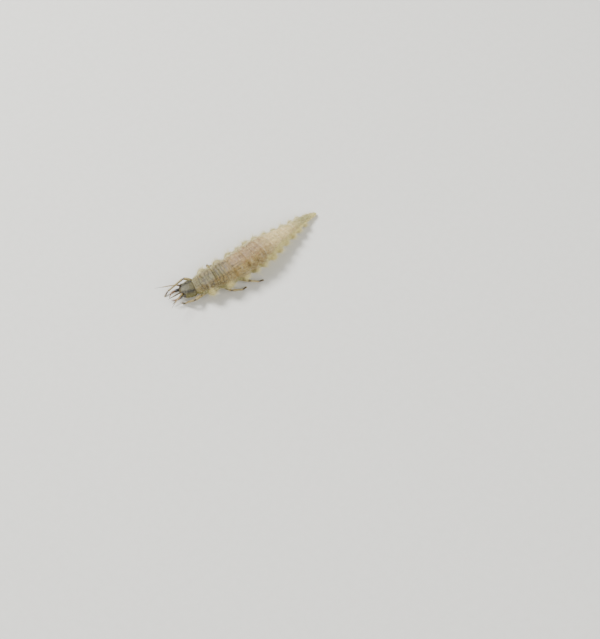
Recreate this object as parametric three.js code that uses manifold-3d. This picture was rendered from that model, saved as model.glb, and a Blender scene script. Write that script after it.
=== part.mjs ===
// A full-grown larva of the green lacewing, life size, standing on its six feet and its tail.
// Units are millimetres. +Z is up, the head points to -Y and the larva's left side is +X.
// The origin is under the middle of the larva, on the surface it stands on.
import * as THREE from "three";
import { mergeVertices } from "three/addons/utils/BufferGeometryUtils.js";
import Module from "manifold-3d";

const wasm = await Module();
wasm.setup();

// Driving dimensions. A station is a distance along the body, from the front of the head to the tail tip.
const BODY_LENGTH = 9.35;
const HEAD_Y = -4.12; // y of station 0
const BOW_SHIFT = -0.56; // x of station 0, which centres the curved body and its feet on x = 0
const BRISTLE_DEPTH = 0.03; // depth of the short bristles that the solids enclose
const CUT = 0.05; // width of the cut between two neighbouring solids
const LEG_THICK = 0.5;
const FEELER_THICK = 0.46;

// Where each part of the trunk begins and ends.
const NECK = { name: "neck", from: 0.8, to: 1.0 };
const SEGMENTS = [
  { name: "prothorax", from: 1.0, to: 2.0 },
  { name: "mesothorax", from: 2.0, to: 2.95 },
  { name: "metathorax", from: 2.95, to: 3.8 },
  { name: "abdomen_1", from: 3.8, to: 4.3 },
  { name: "abdomen_2", from: 4.3, to: 4.93 },
  { name: "abdomen_3", from: 4.93, to: 5.55 },
  { name: "abdomen_4", from: 5.55, to: 6.17 },
  { name: "abdomen_5", from: 6.17, to: 6.78 },
  { name: "abdomen_6", from: 6.78, to: 7.37 },
  { name: "abdomen_7", from: 7.37, to: 7.92 },
  { name: "abdomen_8", from: 7.92, to: 8.42 },
  { name: "abdomen_9", from: 8.42, to: 8.88 },
  { name: "abdomen_10", from: 8.88, to: BODY_LENGTH },
];

// A smooth function through a few [station, value] points, with each slope taken from the neighbours.
function profile(points) {
  return (s) => {
    let i = 0;
    while (i < points.length - 2 && s > points[i + 1][0]) i += 1;
    const before = points[Math.max(i - 1, 0)];
    const start = points[i];
    const end = points[i + 1];
    const after = points[Math.min(i + 2, points.length - 1)];
    const span = end[0] - start[0];
    const t = THREE.MathUtils.clamp((s - start[0]) / span, 0, 1);
    const slopeIn = (span * (end[1] - before[1])) / (end[0] - before[0]);
    const slopeOut = (span * (after[1] - start[1])) / (after[0] - start[0]);
    const t2 = t * t;
    const t3 = t2 * t;
    return (
      (2 * t3 - 3 * t2 + 1) * start[1] +
      (t3 - 2 * t2 + t) * slopeIn +
      (3 * t2 - 2 * t3) * end[1] +
      (t3 - t2) * slopeOut
    );
  };
}

// How far the body's middle line curves to its left of the line from head to tail.
const bow = profile([
  [0, 0], [0.5, 0.16], [1.0, 0.29], [2.4, 0.57], [3.6, 0.62], [4.8, 0.57],
  [6.2, 0.41], [7.6, 0.2], [8.6, 0], [BODY_LENGTH, 0],
]);

// Height of the body's middle line over the surface, from the head to the tail.
const middleHeight = profile([
  [0, 0.5], [0.8, 0.57], [2.2, 0.7], [3.6, 0.77], [4.7, 0.79], [5.7, 0.7],
  [6.9, 0.53], [7.9, 0.38], [8.6, 0.24], [9.1, 0.145], [BODY_LENGTH, 0.11],
]);

// Half width and half height of the trunk, without its side tubercles.
const trunkWidth = profile([
  [0.8, 0.5], [1.0, 0.61], [1.5, 0.75], [2.3, 0.8], [3.2, 0.85], [4.4, 0.87],
  [5.2, 0.81], [6.3, 0.6], [7.5, 0.42], [8.4, 0.31], [8.9, 0.23], [BODY_LENGTH, 0.11],
]);
const trunkHeight = profile([
  [0.8, 0.22], [1.0, 0.28], [1.5, 0.4], [2.3, 0.52], [3.2, 0.61], [4.4, 0.66],
  [5.2, 0.62], [6.3, 0.48], [7.5, 0.33], [8.4, 0.22], [8.9, 0.16], [BODY_LENGTH, 0.1],
]);

// Half width and half height of the head capsule.
const headWidth = profile([
  [0, 0.27], [0.12, 0.39], [0.28, 0.47], [0.5, 0.53], [0.65, 0.53], [0.8, 0.47],
]);
const headHeight = profile([
  [0, 0.12], [0.12, 0.18], [0.3, 0.225], [0.5, 0.24], [0.65, 0.23], [0.8, 0.2],
]);

// The point of the body's middle line at a station, and the directions across it there.
function middle(s) {
  return new THREE.Vector3(BOW_SHIFT + bow(s), HEAD_Y + s, middleHeight(s));
}

function across(s) {
  const step = 0.02;
  const along = middle(s + step).sub(middle(s - step)).normalize();
  const left = along.clone().cross(new THREE.Vector3(0, 0, 1)).normalize();
  return { left, up: left.clone().cross(along) };
}

// A point given by its station, its distance to the left of the middle line and its height.
function place(s, left, height) {
  return middle(s).addScaledVector(across(s).left, left).setZ(height);
}

// A ring of points round the middle line, from its top towards its left side.
// It is a rounded oval, a little flatter below than above.
const ROUND_ABOVE = 2.1;
const ROUND_BELOW = 2.6;
function ring(s, halfWidth, halfHeight, sides) {
  const { left, up } = across(s);
  return Array.from({ length: sides }, (_, i) => {
    const angle = (2 * Math.PI * i) / sides;
    const rise = Math.cos(angle);
    const out = Math.sin(angle);
    const power = 2 / (rise > 0 ? ROUND_ABOVE : ROUND_BELOW);
    return middle(s)
      .addScaledVector(up, halfHeight * Math.sign(rise) * Math.abs(rise) ** power)
      .addScaledVector(left, halfWidth * Math.sign(out) * Math.abs(out) ** power);
  });
}

// A closed skin over a row of rings, with a fan of triangles over the first and the last.
function loft(rings) {
  const sides = rings[0].length;
  const last = rings.length - 1;
  const points = rings.flat();
  const corners = [];
  const next = (i) => (i + 1) % sides;
  for (let r = 0; r < last; r += 1) {
    for (let i = 0; i < sides; i += 1) {
      const a = r * sides + i;
      const b = r * sides + next(i);
      corners.push(a, b, a + sides, b, b + sides, a + sides);
    }
  }
  for (const r of [0, last]) {
    const hub = points.length;
    const sum = rings[r].reduce((total, p) => total.add(p), new THREE.Vector3());
    points.push(sum.divideScalar(sides));
    for (let i = 0; i < sides; i += 1) {
      const a = r * sides + i;
      const b = r * sides + next(i);
      corners.push(...(r === last ? [a, b, hub] : [b, a, hub]));
    }
  }
  return new THREE.BufferGeometry().setFromPoints(points).setIndex(corners);
}

// A geometry as a solid that can be joined and cut, and a solid as a geometry again.
function solidOf(geometry) {
  geometry.deleteAttribute("normal");
  geometry.deleteAttribute("uv");
  const merged = mergeVertices(geometry);
  return new wasm.Manifold(
    new wasm.Mesh({
      numProp: 3,
      vertProperties: merged.attributes.position.array,
      triVerts: new Uint32Array(merged.index.array),
    }),
  );
}

function geometryOf(solid) {
  const mesh = solid.getMesh();
  const geometry = new THREE.BufferGeometry();
  geometry.setAttribute("position", new THREE.BufferAttribute(new Float32Array(mesh.vertProperties), 3));
  geometry.setIndex(new THREE.BufferAttribute(new Uint32Array(mesh.triVerts), 1));
  geometry.computeVertexNormals();
  return geometry;
}

const join = (solids) => solids.reduce((whole, next) => whole.add(next));
const cut = (solid, others) => others.reduce((rest, other) => rest.subtract(other), solid);

// A round limb through a few points, each with its own radius, with rounded ends.
const END_RINGS = [0.9, 0.55]; // how far the rings that close an end stand out, in radii
function limb(points, radii, sides, steps) {
  const curve = new THREE.CatmullRomCurve3(points, false, "centripetal");
  const frames = curve.computeFrenetFrames(steps, false);
  const size = profile(radii.map((radius, i) => [i / (radii.length - 1), radius]));
  const circle = (i, radius, out) => {
    const centre = curve.getPointAt(i / steps).addScaledVector(frames.tangents[i], out);
    return Array.from({ length: sides }, (_, k) => {
      const angle = (2 * Math.PI * k) / sides;
      return centre
        .clone()
        .addScaledVector(frames.normals[i], radius * Math.cos(angle))
        .addScaledVector(frames.binormals[i], radius * Math.sin(angle));
    });
  };
  const endRing = (i, out, way) => {
    const radius = size(i / steps);
    return circle(i, radius * Math.sqrt(1 - out * out), way * out * radius);
  };
  const rings = END_RINGS.map((out) => endRing(0, out, -1));
  for (let i = 0; i <= steps; i += 1) {
    rings.push(circle(i, size(i / steps), 0));
  }
  rings.push(...END_RINGS.toReversed().map((out) => endRing(steps, out, 1)));
  return solidOf(loft(rings));
}

// A smooth oval bump. The last of its half sizes lies along the direction.
function oval(centre, halfSizes, direction, sides, rows) {
  const sphere = new THREE.SphereGeometry(1, sides, rows);
  sphere.rotateX(Math.PI / 2);
  const turn = new THREE.Quaternion();
  turn.setFromUnitVectors(new THREE.Vector3(0, 0, 1), direction.clone().normalize());
  sphere.applyMatrix4(new THREE.Matrix4().compose(centre, turn, halfSizes));
  return solidOf(sphere);
}

// All that is below the surface the larva stands on. Cutting it off leaves a small flat under each foot.
const FLOOR_WIDTH = 14;
const FLOOR_DEPTH = 2;
const floorBlock = new THREE.BoxGeometry(FLOOR_WIDTH, FLOOR_WIDTH, FLOOR_DEPTH);
const underFloor = solidOf(floorBlock.translate(0, 0, -FLOOR_DEPTH / 2));

const FINISHES = {
  trunk: { color: 0x9c8468, roughness: 0.6 },
  head: { color: 0xb5a98a, roughness: 0.45 },
  jaw: { color: 0x5d4322, roughness: 0.3 },
  feeler: { color: 0xa8966a, roughness: 0.5 },
  eye: { color: 0x120e0c, roughness: 0.2 },
  leg: { color: 0xa89c72, roughness: 0.5 },
};
const larva = new THREE.Group();
larva.name = "lacewing_larva";

function addNode(name, solid, finish) {
  const material = new THREE.MeshStandardMaterial({ ...FINISHES[finish], metalness: 0 });
  const mesh = new THREE.Mesh(geometryOf(solid), material);
  mesh.name = name;
  larva.add(mesh);
}

// Trunk: each segment swells in its middle and narrows to a groove at both ends.
const TRUNK_SIDES = 16;
const SEGMENT_ROWS = 4;
const GROOVE_DEPTH = 0.14;
function segmentSolid({ from, to }, grow = 0) {
  const start = from + CUT / 2 - grow;
  const length = to - from - CUT + 2 * grow;
  const rings = Array.from({ length: SEGMENT_ROWS + 1 }, (_, i) => {
    const t = i / SEGMENT_ROWS;
    const s = start + length * t;
    const swell = 1 - GROOVE_DEPTH * (2 * Math.abs(t - 0.5)) ** 3;
    const extra = BRISTLE_DEPTH + grow;
    return ring(s, trunkWidth(s) * swell + extra, trunkHeight(s) * swell + extra, TRUNK_SIDES);
  });
  return solidOf(loft(rings));
}

// Side tubercles: one pair on each segment from the first to the eleventh, smaller towards the tail.
const LAST_TUBERCLE = 8.3;
const TUBERCLE_ROOT = 0.72; // where a tubercle's oval is centred, as a share of the half width
const TUBERCLE_DROP = 0.08; // its depth under the middle line, as a share of the half height
const TUBERCLE_TILT = 0.08; // how much it points up
const tubercleReach = profile([
  [1.5, 0.3], [2.5, 0.22], [3.4, 0.2], [4.05, 0.17], [4.6, 0.2],
  [5.2, 0.19], [6.4, 0.15], [7.6, 0.12], [8.2, 0.1],
]);
const tubercleWidth = profile([
  [1.5, 0.22], [2.5, 0.26], [4.05, 0.17], [4.6, 0.22], [6.4, 0.18], [8.2, 0.12],
]);
function tubercles({ from, to }, grow = 0) {
  const s = (from + to) / 2;
  if (s > LAST_TUBERCLE) return [];
  const { left, up } = across(s);
  const halfWidth = tubercleWidth(s) + BRISTLE_DEPTH + grow;
  const halfLength = trunkWidth(s) * (1 - TUBERCLE_ROOT) + tubercleReach(s) + BRISTLE_DEPTH + grow;
  return [1, -1].map((side) => {
    const centre = middle(s)
      .addScaledVector(left, side * trunkWidth(s) * TUBERCLE_ROOT)
      .addScaledVector(up, -trunkHeight(s) * TUBERCLE_DROP);
    const direction = left.clone().multiplyScalar(side).addScaledVector(up, TUBERCLE_TILT);
    return oval(centre, new THREE.Vector3(halfWidth, halfWidth, halfLength), direction, 8, 5);
  });
}

for (const segment of SEGMENTS) {
  const whole = join([segmentSolid(segment), ...tubercles(segment)]);
  addNode(segment.name, whole.subtract(underFloor), "trunk");
}
addNode(NECK.name, segmentSolid(NECK), "trunk");

// Head capsule, flat and a little heart shaped, with a socket at each front corner for the eyes.
const HEAD_SIDES = 20;
const HEAD_ROWS = 6;
function headSolid(grow = 0) {
  const length = NECK.from - CUT / 2 + 2 * grow;
  const rings = Array.from({ length: HEAD_ROWS + 1 }, (_, i) => {
    const s = -grow + (length * i) / HEAD_ROWS;
    return ring(s, headWidth(s) + grow, headHeight(s) + grow, HEAD_SIDES);
  });
  return solidOf(loft(rings));
}

// Eyes: on each front corner of the head, a raised dark patch that carries six simple eyes.
const EYE_STATION = 0.17;
const EYE_LEFT = 0.385;
const EYE_RISE = 0.045;
const EYE_HALF_SIZES = new THREE.Vector3(0.085, 0.1, 0.075);
function eyePatch(side, grow = 0) {
  const { left, up } = across(EYE_STATION);
  const centre = middle(EYE_STATION).addScaledVector(left, side * EYE_LEFT).addScaledVector(up, EYE_RISE);
  const outward = new THREE.Vector3(side, -0.5, 0.25);
  return oval(centre, EYE_HALF_SIZES.clone().addScalar(grow), outward, 10, 7);
}

// A point of a jaw, feeler, palp or leg is [station, distance from the middle line, height].
function sideLimb(points, radii, side, steps, grow = 0) {
  const sides = 8;
  const spots = points.map(([s, left, height]) => place(s, side * left, height));
  return limb(spots, radii.map((radius) => radius + grow), sides, steps);
}

// Jaws: a pair of curved, pointed sickles whose tips nearly meet in front of the head.
const JAW_POINTS = [
  [0.1, 0.17, 0.47], [-0.12, 0.25, 0.455], [-0.33, 0.275, 0.44], [-0.52, 0.2, 0.425], [-0.66, 0.07, 0.415],
];
const JAW_RADII = [0.125, 0.11, 0.085, 0.055, 0.035];
const jaw = (side, grow) => sideLimb(JAW_POINTS, JAW_RADII, side, 7, grow);

// Feelers: from above the jaws, forwards and outwards.
const FEELER_POINTS = [[0.12, 0.33, 0.74], [-0.25, 0.44, 0.83], [-0.65, 0.6, 0.87], [-0.9, 0.74, 0.87]];
const FEELER_RADII = [1, 1, 1, 0.9].map((share) => (share * FEELER_THICK) / 2);
const feeler = (side, grow) => sideLimb(FEELER_POINTS, FEELER_RADII, side, 4, grow);

// Lip palps: under the jaws, forwards and down.
const PALP_POINTS = [[0.15, 0.11, 0.25], [-0.15, 0.13, 0.24], [-0.45, 0.18, 0.2], [-0.66, 0.21, 0.16]];
const PALP_RADII = [0.09, 0.09, 0.085, 0.07];
const palp = (side, grow) => sideLimb(PALP_POINTS, PALP_RADII, side, 4, grow);

const BOTH_SIDES = [["left", 1], ["right", -1]];
const headRoom = headSolid(CUT);
addNode("head", cut(headSolid(), BOTH_SIDES.map(([, side]) => eyePatch(side, CUT))), "head");
for (const [word, side] of BOTH_SIDES) {
  const eyeRoom = eyePatch(side, CUT);
  const jawRoom = jaw(side, CUT);
  addNode("eye_" + word, eyePatch(side), "eye");
  addNode("jaw_" + word, cut(jaw(side), [headRoom]), "jaw");
  addNode("antenna_" + word, cut(feeler(side), [headRoom, eyeRoom, jawRoom]), "feeler");
  addNode("palp_" + word, cut(palp(side), [headRoom, jawRoom]), "feeler");
}

// Legs: each runs from its hip under the trunk to a knee, an ankle and a toe, which is flat below.
// A place in this list is [station, distance to the left of the middle line].
const LEGS = [
  { name: "leg_front_left", hip: [1.4, 0.34], knee: [0.54, 0.82], ankle: [0.08, 0.56], toe: [-0.14, 0.42] },
  { name: "leg_front_right", hip: [1.35, -0.34], knee: [0.4, -0.76], ankle: [-0.38, -0.66], toe: [-0.6, -0.58] },
  { name: "leg_middle_left", hip: [2.25, 0.45], knee: [2.4, 1.1], ankle: [2.96, 1.12], toe: [3.18, 1.04] },
  { name: "leg_middle_right", hip: [2.2, -0.45], knee: [1.95, -1.05], ankle: [2.2, -1.2], toe: [2.36, -1.28] },
  { name: "leg_hind_left", hip: [3.15, 0.45], knee: [3.4, 1.12], ankle: [3.92, 1.22], toe: [4.14, 1.22] },
  { name: "leg_hind_right", hip: [3.15, -0.45], knee: [3.4, -1.12], ankle: [3.95, -1.24], toe: [4.18, -1.28] },
];
const HIP_HEIGHT = 0.36;
const KNEE_HEIGHT = 0.43;
const ANKLE_HEIGHT = 0.2;
const TOE_HEIGHT = 0.13;
const LEG_SIDES = 8;
const ANKLE_SHARE = 0.92; // thickness at the ankle and at the toe, as shares of the thigh's
const TOE_SHARE = 0.84;
function leg(hip, knee, ankle, toe) {
  const at = ([s, left], height) => place(s, left, height);
  const thigh = LEG_THICK / 2;
  const lengths = [
    [at(hip, HIP_HEIGHT), at(knee, KNEE_HEIGHT), thigh, thigh],
    [at(knee, KNEE_HEIGHT), at(ankle, ANKLE_HEIGHT), thigh, thigh * ANKLE_SHARE],
    [at(ankle, ANKLE_HEIGHT), at(toe, TOE_HEIGHT), thigh * ANKLE_SHARE, thigh * TOE_SHARE],
  ];
  return join(lengths.map(([a, b, start, end]) => limb([a, b], [start, end], LEG_SIDES, 1)));
}

const legRoom = [
  headRoom,
  ...[NECK, ...SEGMENTS].map((segment) => segmentSolid(segment, CUT)),
  ...SEGMENTS.flatMap((segment) => tubercles(segment, CUT)),
  ...BOTH_SIDES.flatMap(([, side]) => [palp(side, CUT), feeler(side, CUT)]),
  underFloor,
];
for (const { name, hip, knee, ankle, toe } of LEGS) {
  addNode(name, cut(leg(hip, knee, ankle, toe), legRoom), "leg");
}

export default larva;
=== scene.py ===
"""A full-grown larva of the green lacewing, life size, standing on its six feet and its tail."""
import bpy
import numpy as np
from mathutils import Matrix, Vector


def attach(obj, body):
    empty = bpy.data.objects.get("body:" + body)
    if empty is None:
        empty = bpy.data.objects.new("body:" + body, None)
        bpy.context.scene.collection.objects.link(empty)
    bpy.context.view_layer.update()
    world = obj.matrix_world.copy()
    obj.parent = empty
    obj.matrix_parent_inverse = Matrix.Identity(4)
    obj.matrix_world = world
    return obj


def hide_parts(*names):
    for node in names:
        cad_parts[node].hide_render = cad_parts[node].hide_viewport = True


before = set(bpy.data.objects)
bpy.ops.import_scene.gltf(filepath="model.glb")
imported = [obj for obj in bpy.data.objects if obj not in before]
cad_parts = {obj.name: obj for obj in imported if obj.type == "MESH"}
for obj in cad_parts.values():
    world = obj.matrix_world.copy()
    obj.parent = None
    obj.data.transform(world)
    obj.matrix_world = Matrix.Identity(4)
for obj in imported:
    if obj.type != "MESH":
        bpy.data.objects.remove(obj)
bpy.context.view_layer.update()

# Camera
# It looks down on the larva from beyond its head and its left side, through a short telephoto lens.
# Its place follows from two points of the body and the pixels where the picture shows them.
PICTURE_WIDE, PICTURE_HIGH = 600, 639
LENS, SENSOR = 85.0, 36.0  # mm, the sensor's on the picture's longer side
NEAREST = 0.001  # m, nothing closer to the camera is seen
LOOK_AZIMUTH, LOOK_ELEVATION = 52.4, 56.0  # degrees: 0 looks along +Y, and down from the horizon
HEAD_FRONT, HEAD_PIXEL = np.array([-0.00056, -0.00412, 0.0005]), (180, 292)  # m and pixels
TAIL_TIP, TAIL_PIXEL = np.array([-0.00056, 0.00523, 0.00011]), (316.5, 213.3)


def look_axes(azimuth, elevation):
    """Right, up and back of a level look: back is tilted up by the elevation and turned by the azimuth."""
    turn, rise = np.radians([azimuth, elevation])
    right = np.array([np.cos(turn), np.sin(turn), 0])
    back = np.array([np.sin(turn) * np.cos(rise), -np.cos(turn) * np.cos(rise), np.sin(rise)])
    return right, np.cross(back, right), back


def camera_place(axes, points, pixels):
    """The place from which each point shows at its pixel: each pixel offset gives one plane that holds
    the camera and the point, and the place is the least squares of all the planes."""
    right, up, back = axes
    pull = LENS / SENSOR * max(PICTURE_WIDE, PICTURE_HIGH)
    planes, reaches = [], []
    for point, (x, y) in zip(points, pixels):
        for axis, offset in ((right, x - PICTURE_WIDE / 2), (up, PICTURE_HIGH / 2 - y)):
            plane = pull * axis + offset * back
            planes.append(plane)
            reaches.append(plane @ point)
    return np.linalg.lstsq(np.array(planes), np.array(reaches), rcond=None)[0]


def put_in_scene(name, data):
    """A new object of the scene with the given mesh, lamp or lens."""
    thing = bpy.data.objects.new(name, data)
    bpy.context.scene.collection.objects.link(thing)
    return thing


def aimed(name, data, spot, back):
    """A lamp or camera that stands at a spot and looks the way opposite to back."""
    thing = put_in_scene(name, data)
    thing.location = spot
    thing.rotation_euler = Vector(back).to_track_quat("Z", "Y").to_euler()
    return thing


look = look_axes(LOOK_AZIMUTH, LOOK_ELEVATION)
lens = bpy.data.cameras.new("camera")
lens.lens = LENS
lens.sensor_width = SENSOR
lens.clip_start = NEAREST
camera_spot = camera_place(look, (HEAD_FRONT, TAIL_TIP), (HEAD_PIXEL, TAIL_PIXEL))
bpy.context.scene.camera = aimed("camera", lens, camera_spot, look[2])

# Light
# Soft studio light: a large lamp high on the larva's right, so that the near flank lies in mild shade as
# in the picture, a weak lamp on its left, and a pale room around.
KEY = {"azimuth": 288, "elevation": 50, "distance": 0.16, "size": 0.06, "power": 0.43}  # degrees, m and W
FILL = {"azimuth": 100, "elevation": 35, "distance": 0.2, "size": 0.14, "power": 0.29}
ROOM_COLOUR, ROOM_STRENGTH = (0.92, 0.92, 0.88, 1), 0.45


def soft_lamp(name, azimuth, elevation, distance, size, power):
    """A square lamp that looks at the larva's middle from the given side, height and distance."""
    lamp = bpy.data.lights.new(name, "AREA")
    lamp.size = size
    lamp.energy = power
    back = look_axes(azimuth, elevation)[2]
    aimed(name, lamp, back * distance, back)


soft_lamp("key_lamp", **KEY)
soft_lamp("fill_lamp", **FILL)
room = bpy.data.worlds.new("pale_room")
room.use_nodes = True
room.node_tree.nodes["Background"].inputs["Color"].default_value = ROOM_COLOUR
room.node_tree.nodes["Background"].inputs["Strength"].default_value = ROOM_STRENGTH
bpy.context.scene.world = room

# Floor
# A plain pale sheet of matt card, much larger than the view.
FLOOR_HALF = 1.5  # m
MILLIMETRES = (1000, 1000, 1000)  # turns a pattern's metres into millimetres


def feed(tree, made, inputs):
    """Links or sets inputs of a shader node, by name or number."""
    for socket, value in dict(inputs).items():
        if isinstance(value, bpy.types.NodeSocket):
            tree.links.new(value, made.inputs[socket])
        else:
            made.inputs[socket].default_value = value


def node(tree, kind, inputs=(), **settings):
    """Adds a shader node with its settings and inputs."""
    made = tree.nodes.new("ShaderNode" + kind)
    for name, value in settings.items():
        setattr(made, name, value)
    feed(tree, made, inputs)
    return made


def colour(code):
    """A colour code of six hexadecimal digits as linear red, green, blue and full cover:
    the usual display curve undone."""
    display = np.array([int(code[i:i + 2], 16) for i in (0, 2, 4)]) / 255
    linear = np.where(display <= 0.04045, display / 12.92, ((display + 0.055) / 1.055) ** 2.4)
    return (*linear, 1)


def new_finish(name):
    """A material with an empty tree but for the shader, and the object's coordinates in millimetres."""
    finish = bpy.data.materials.new(name)
    finish.use_nodes = True
    tree = finish.node_tree
    shader = tree.nodes["Principled BSDF"]
    spot = node(tree, "TexCoord").outputs["Object"]
    millimetres = node(tree, "Mapping", {"Vector": spot, "Scale": MILLIMETRES}).outputs["Vector"]
    return finish, tree, shader, millimetres


def speckle(tree, spot, scale, detail=2.0, roughness=0.6):
    """Cloudy noise from 0 to 1 with about scale patches to the millimetre."""
    inputs = {"Vector": spot, "Scale": scale, "Detail": detail, "Roughness": roughness}
    return node(tree, "TexNoise", inputs).outputs["Fac"]


def between(tree, value, low, high, least=0.0, most=1.0):
    """An eased step: least up to low, most from high on."""
    inputs = {"Value": value, "From Min": low, "From Max": high, "To Min": least, "To Max": most}
    return node(tree, "MapRange", inputs, interpolation_type="SMOOTHSTEP").outputs["Result"]


def blend_colours(tree, share, first, second, way="MIX"):
    """The first colour, and the second where share is 1, or their product where the way is MULTIPLY."""
    return node(tree, "Mix", {0: share, 6: first, 7: second}, data_type="RGBA", blend_type=way).outputs[2]


def shaded(tree, tone, pattern, low, high, most, code):
    """The tone times a colour, in a share that rises to most where the pattern passes from low to high."""
    return blend_colours(tree, between(tree, pattern, low, high, 0, most), tone, colour(code), "MULTIPLY")


def cover(tree, shader, tone, roughness, heights, **others):
    """Gives the shader its colour, roughness, bumps, each (height, depth in metres, strength), and the
    other inputs named with low lines for spaces."""
    normal = {}
    for height, depth, strength in heights:
        inputs = {"Height": height, "Distance": depth, "Strength": strength}
        normal = {"Normal": node(tree, "Bump", {**inputs, **normal}).outputs["Normal"]}
    feed(tree, shader, {"Base Color": tone, "Roughness": roughness, **normal})
    feed(tree, shader, {name.replace("_", " "): value for name, value in others.items()})


def card_finish():
    """Matt off-white card with faint fibres."""
    finish, tree, shader, spot = new_finish("card")
    fibres = speckle(tree, spot, 2.5, 4)
    tone = blend_colours(tree, fibres, colour("e4e3dc"), colour("eeede7"))
    cover(tree, shader, tone, 0.85, [(fibres, 0.00002, 0.25)])
    return finish


sheet = bpy.data.meshes.new("floor")
corners = [(FLOOR_HALF * x, FLOOR_HALF * y, 0) for x, y in ((-1, -1), (1, -1), (1, 1), (-1, 1))]
sheet.from_pydata(corners, [], [(0, 1, 2, 3)])
sheet.materials.append(card_finish())
floor = put_in_scene("floor", sheet)

# Skin
# One soft skin runs from inside the back of the head to the tail foot: thorax, abdomen, folds between
# the segments, fleshy side tubercles, low warts on the back, and hips that carry the legs.
# Sizes are millimetres. A station is a distance along the body from the front of the head.
MM = 0.001
BODY_LENGTH = 9.35
HEAD_Y = -4.12  # y of station 0
BOW_SHIFT = -0.56  # x of station 0
SEGMENT_ENDS = np.array([
    0.8, 1.0, 2.0, 2.95, 3.8, 4.3, 4.93, 5.55, 6.17, 6.78, 7.37, 7.92, 8.42, 8.88, BODY_LENGTH,
])
SEGMENTS = len(SEGMENT_ENDS) - 1  # the first is the neck
FIRST_ABDOMEN = 4  # index in that list
WIDEST = 4.4  # station where the trunk is widest
UPRIGHT = np.array([0, 0, 1.0])
TAILWARDS = np.array([0, 1.0, 0])


def profile(points):
    """A smooth curve through (station, value) points: cubic pieces, each slope taken from the neighbours."""
    at, value = np.array(points, float).T
    here = np.arange(len(at))
    before = np.maximum(here - 1, 0)
    after = np.minimum(here + 1, len(at) - 1)
    slope = (value[after] - value[before]) / (at[after] - at[before])

    def curve(s):
        s = np.clip(s, at[0], at[-1])
        i = np.clip(np.searchsorted(at, s, side="right") - 1, 0, len(at) - 2)
        span = at[i + 1] - at[i]
        t = (s - at[i]) / span
        start = (2 * t**3 - 3 * t**2 + 1) * value[i] + (t**3 - 2 * t**2 + t) * span * slope[i]
        end = (3 * t**2 - 2 * t**3) * value[i + 1] + (t**3 - t**2) * span * slope[i + 1]
        return start + end

    return curve


# The body's middle line: its bow to the left, its height, and the half width and height of the trunk.
bow = profile([
    (0, 0), (0.5, 0.16), (1.0, 0.29), (2.4, 0.57), (3.6, 0.62), (4.8, 0.57),
    (6.2, 0.41), (7.6, 0.2), (8.6, 0), (BODY_LENGTH, 0),
])
middle_height = profile([
    (0, 0.5), (0.8, 0.57), (2.2, 0.7), (3.6, 0.77), (4.7, 0.79), (5.7, 0.7),
    (6.9, 0.53), (7.9, 0.38), (8.6, 0.24), (9.1, 0.145), (BODY_LENGTH, 0.11),
])
trunk_width = profile([
    (0.8, 0.5), (1.0, 0.61), (1.5, 0.75), (2.3, 0.8), (3.2, 0.85), (WIDEST, 0.87),
    (5.2, 0.81), (6.3, 0.6), (7.5, 0.42), (8.4, 0.31), (8.9, 0.23), (BODY_LENGTH, 0.11),
])
trunk_height = profile([
    (0.8, 0.22), (1.0, 0.28), (1.5, 0.4), (2.3, 0.52), (3.2, 0.61), (4.4, 0.66),
    (5.2, 0.62), (6.3, 0.48), (7.5, 0.33), (8.4, 0.22), (8.9, 0.16), (BODY_LENGTH, 0.1),
])


def middle(s):
    """The middle line's point at a station: bowed sideways, rising over the thorax."""
    return np.stack([BOW_SHIFT + bow(s), HEAD_Y + s, middle_height(s)], axis=-1)


def unit(vectors):
    """Vectors at length 1."""
    return vectors / np.linalg.norm(vectors, axis=-1, keepdims=True)


def directions(s):
    """Left and up at a station: left is level and square to the middle line, up is square to both."""
    step = 0.02
    along = unit(middle(s + step) - middle(s - step))
    left = unit(np.cross(along, UPRIGHT))
    return left, np.cross(left, along)


def place(s, left, height):
    """A point at a station, a distance left of the middle line and a height over the floor."""
    point = middle(s) + directions(s)[0] * np.asarray(left)[..., None]
    point[..., 2] = height
    return point


ROUND_ABOVE, ROUND_BELOW = 2.1, 2.6  # powers of the rounded oval: a little flatter below


def oval(angle):
    """How far up and how far left a rounded oval lies at an angle, as shares of its half sizes.
    The angle is 0 at the top and grows to the left."""
    rise, out = np.cos(angle), np.sin(angle)
    power = 2 / np.where(rise > 0, ROUND_ABOVE, ROUND_BELOW)
    return np.sign(rise) * np.abs(rise) ** power, np.sign(out) * np.abs(out) ** power


def hump(distance, width):
    """1 at no distance, easing to 0 a few widths away: a bell curve."""
    return np.exp(-((distance / width) ** 2))


def eased(value, low, high):
    """0 up to low, 1 from high on, and an eased step between."""
    t = np.clip((value - low) / (high - low), 0, 1)
    return t * t * (3 - 2 * t)


def stretch(value, low, full, fading, gone):
    """0 up to low, 1 from full to fading, 0 from gone on, and eased steps between."""
    return eased(value, low, full) * (1 - eased(value, fading, gone))


def turn_share(angle):
    """An angle from minus to plus half a turn as a share from 0 to 1."""
    return angle / (2 * np.pi) + 0.5


def lumps(s, angle, cells, seed):
    """A smooth random field from -1 to 1 over the body: random values on a lattice of so many cells along
    and round it, which closes on itself, joined by eased steps."""
    lattice = np.random.default_rng(seed).uniform(-1, 1, cells)
    x, y = s / BODY_LENGTH * cells[0], turn_share(angle) * cells[1]
    i, j = np.floor(x).astype(int), np.floor(y).astype(int)
    u, v = eased(x - i, 0, 1), eased(y - j, 0, 1)

    def corner(a, b):
        return lattice[(i + a) % cells[0], (j + b) % cells[1]]

    near = corner(0, 0) * (1 - v) + corner(0, 1) * v
    far = corner(1, 0) * (1 - v) + corner(1, 1) * v
    return near * (1 - u) + far * u


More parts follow.
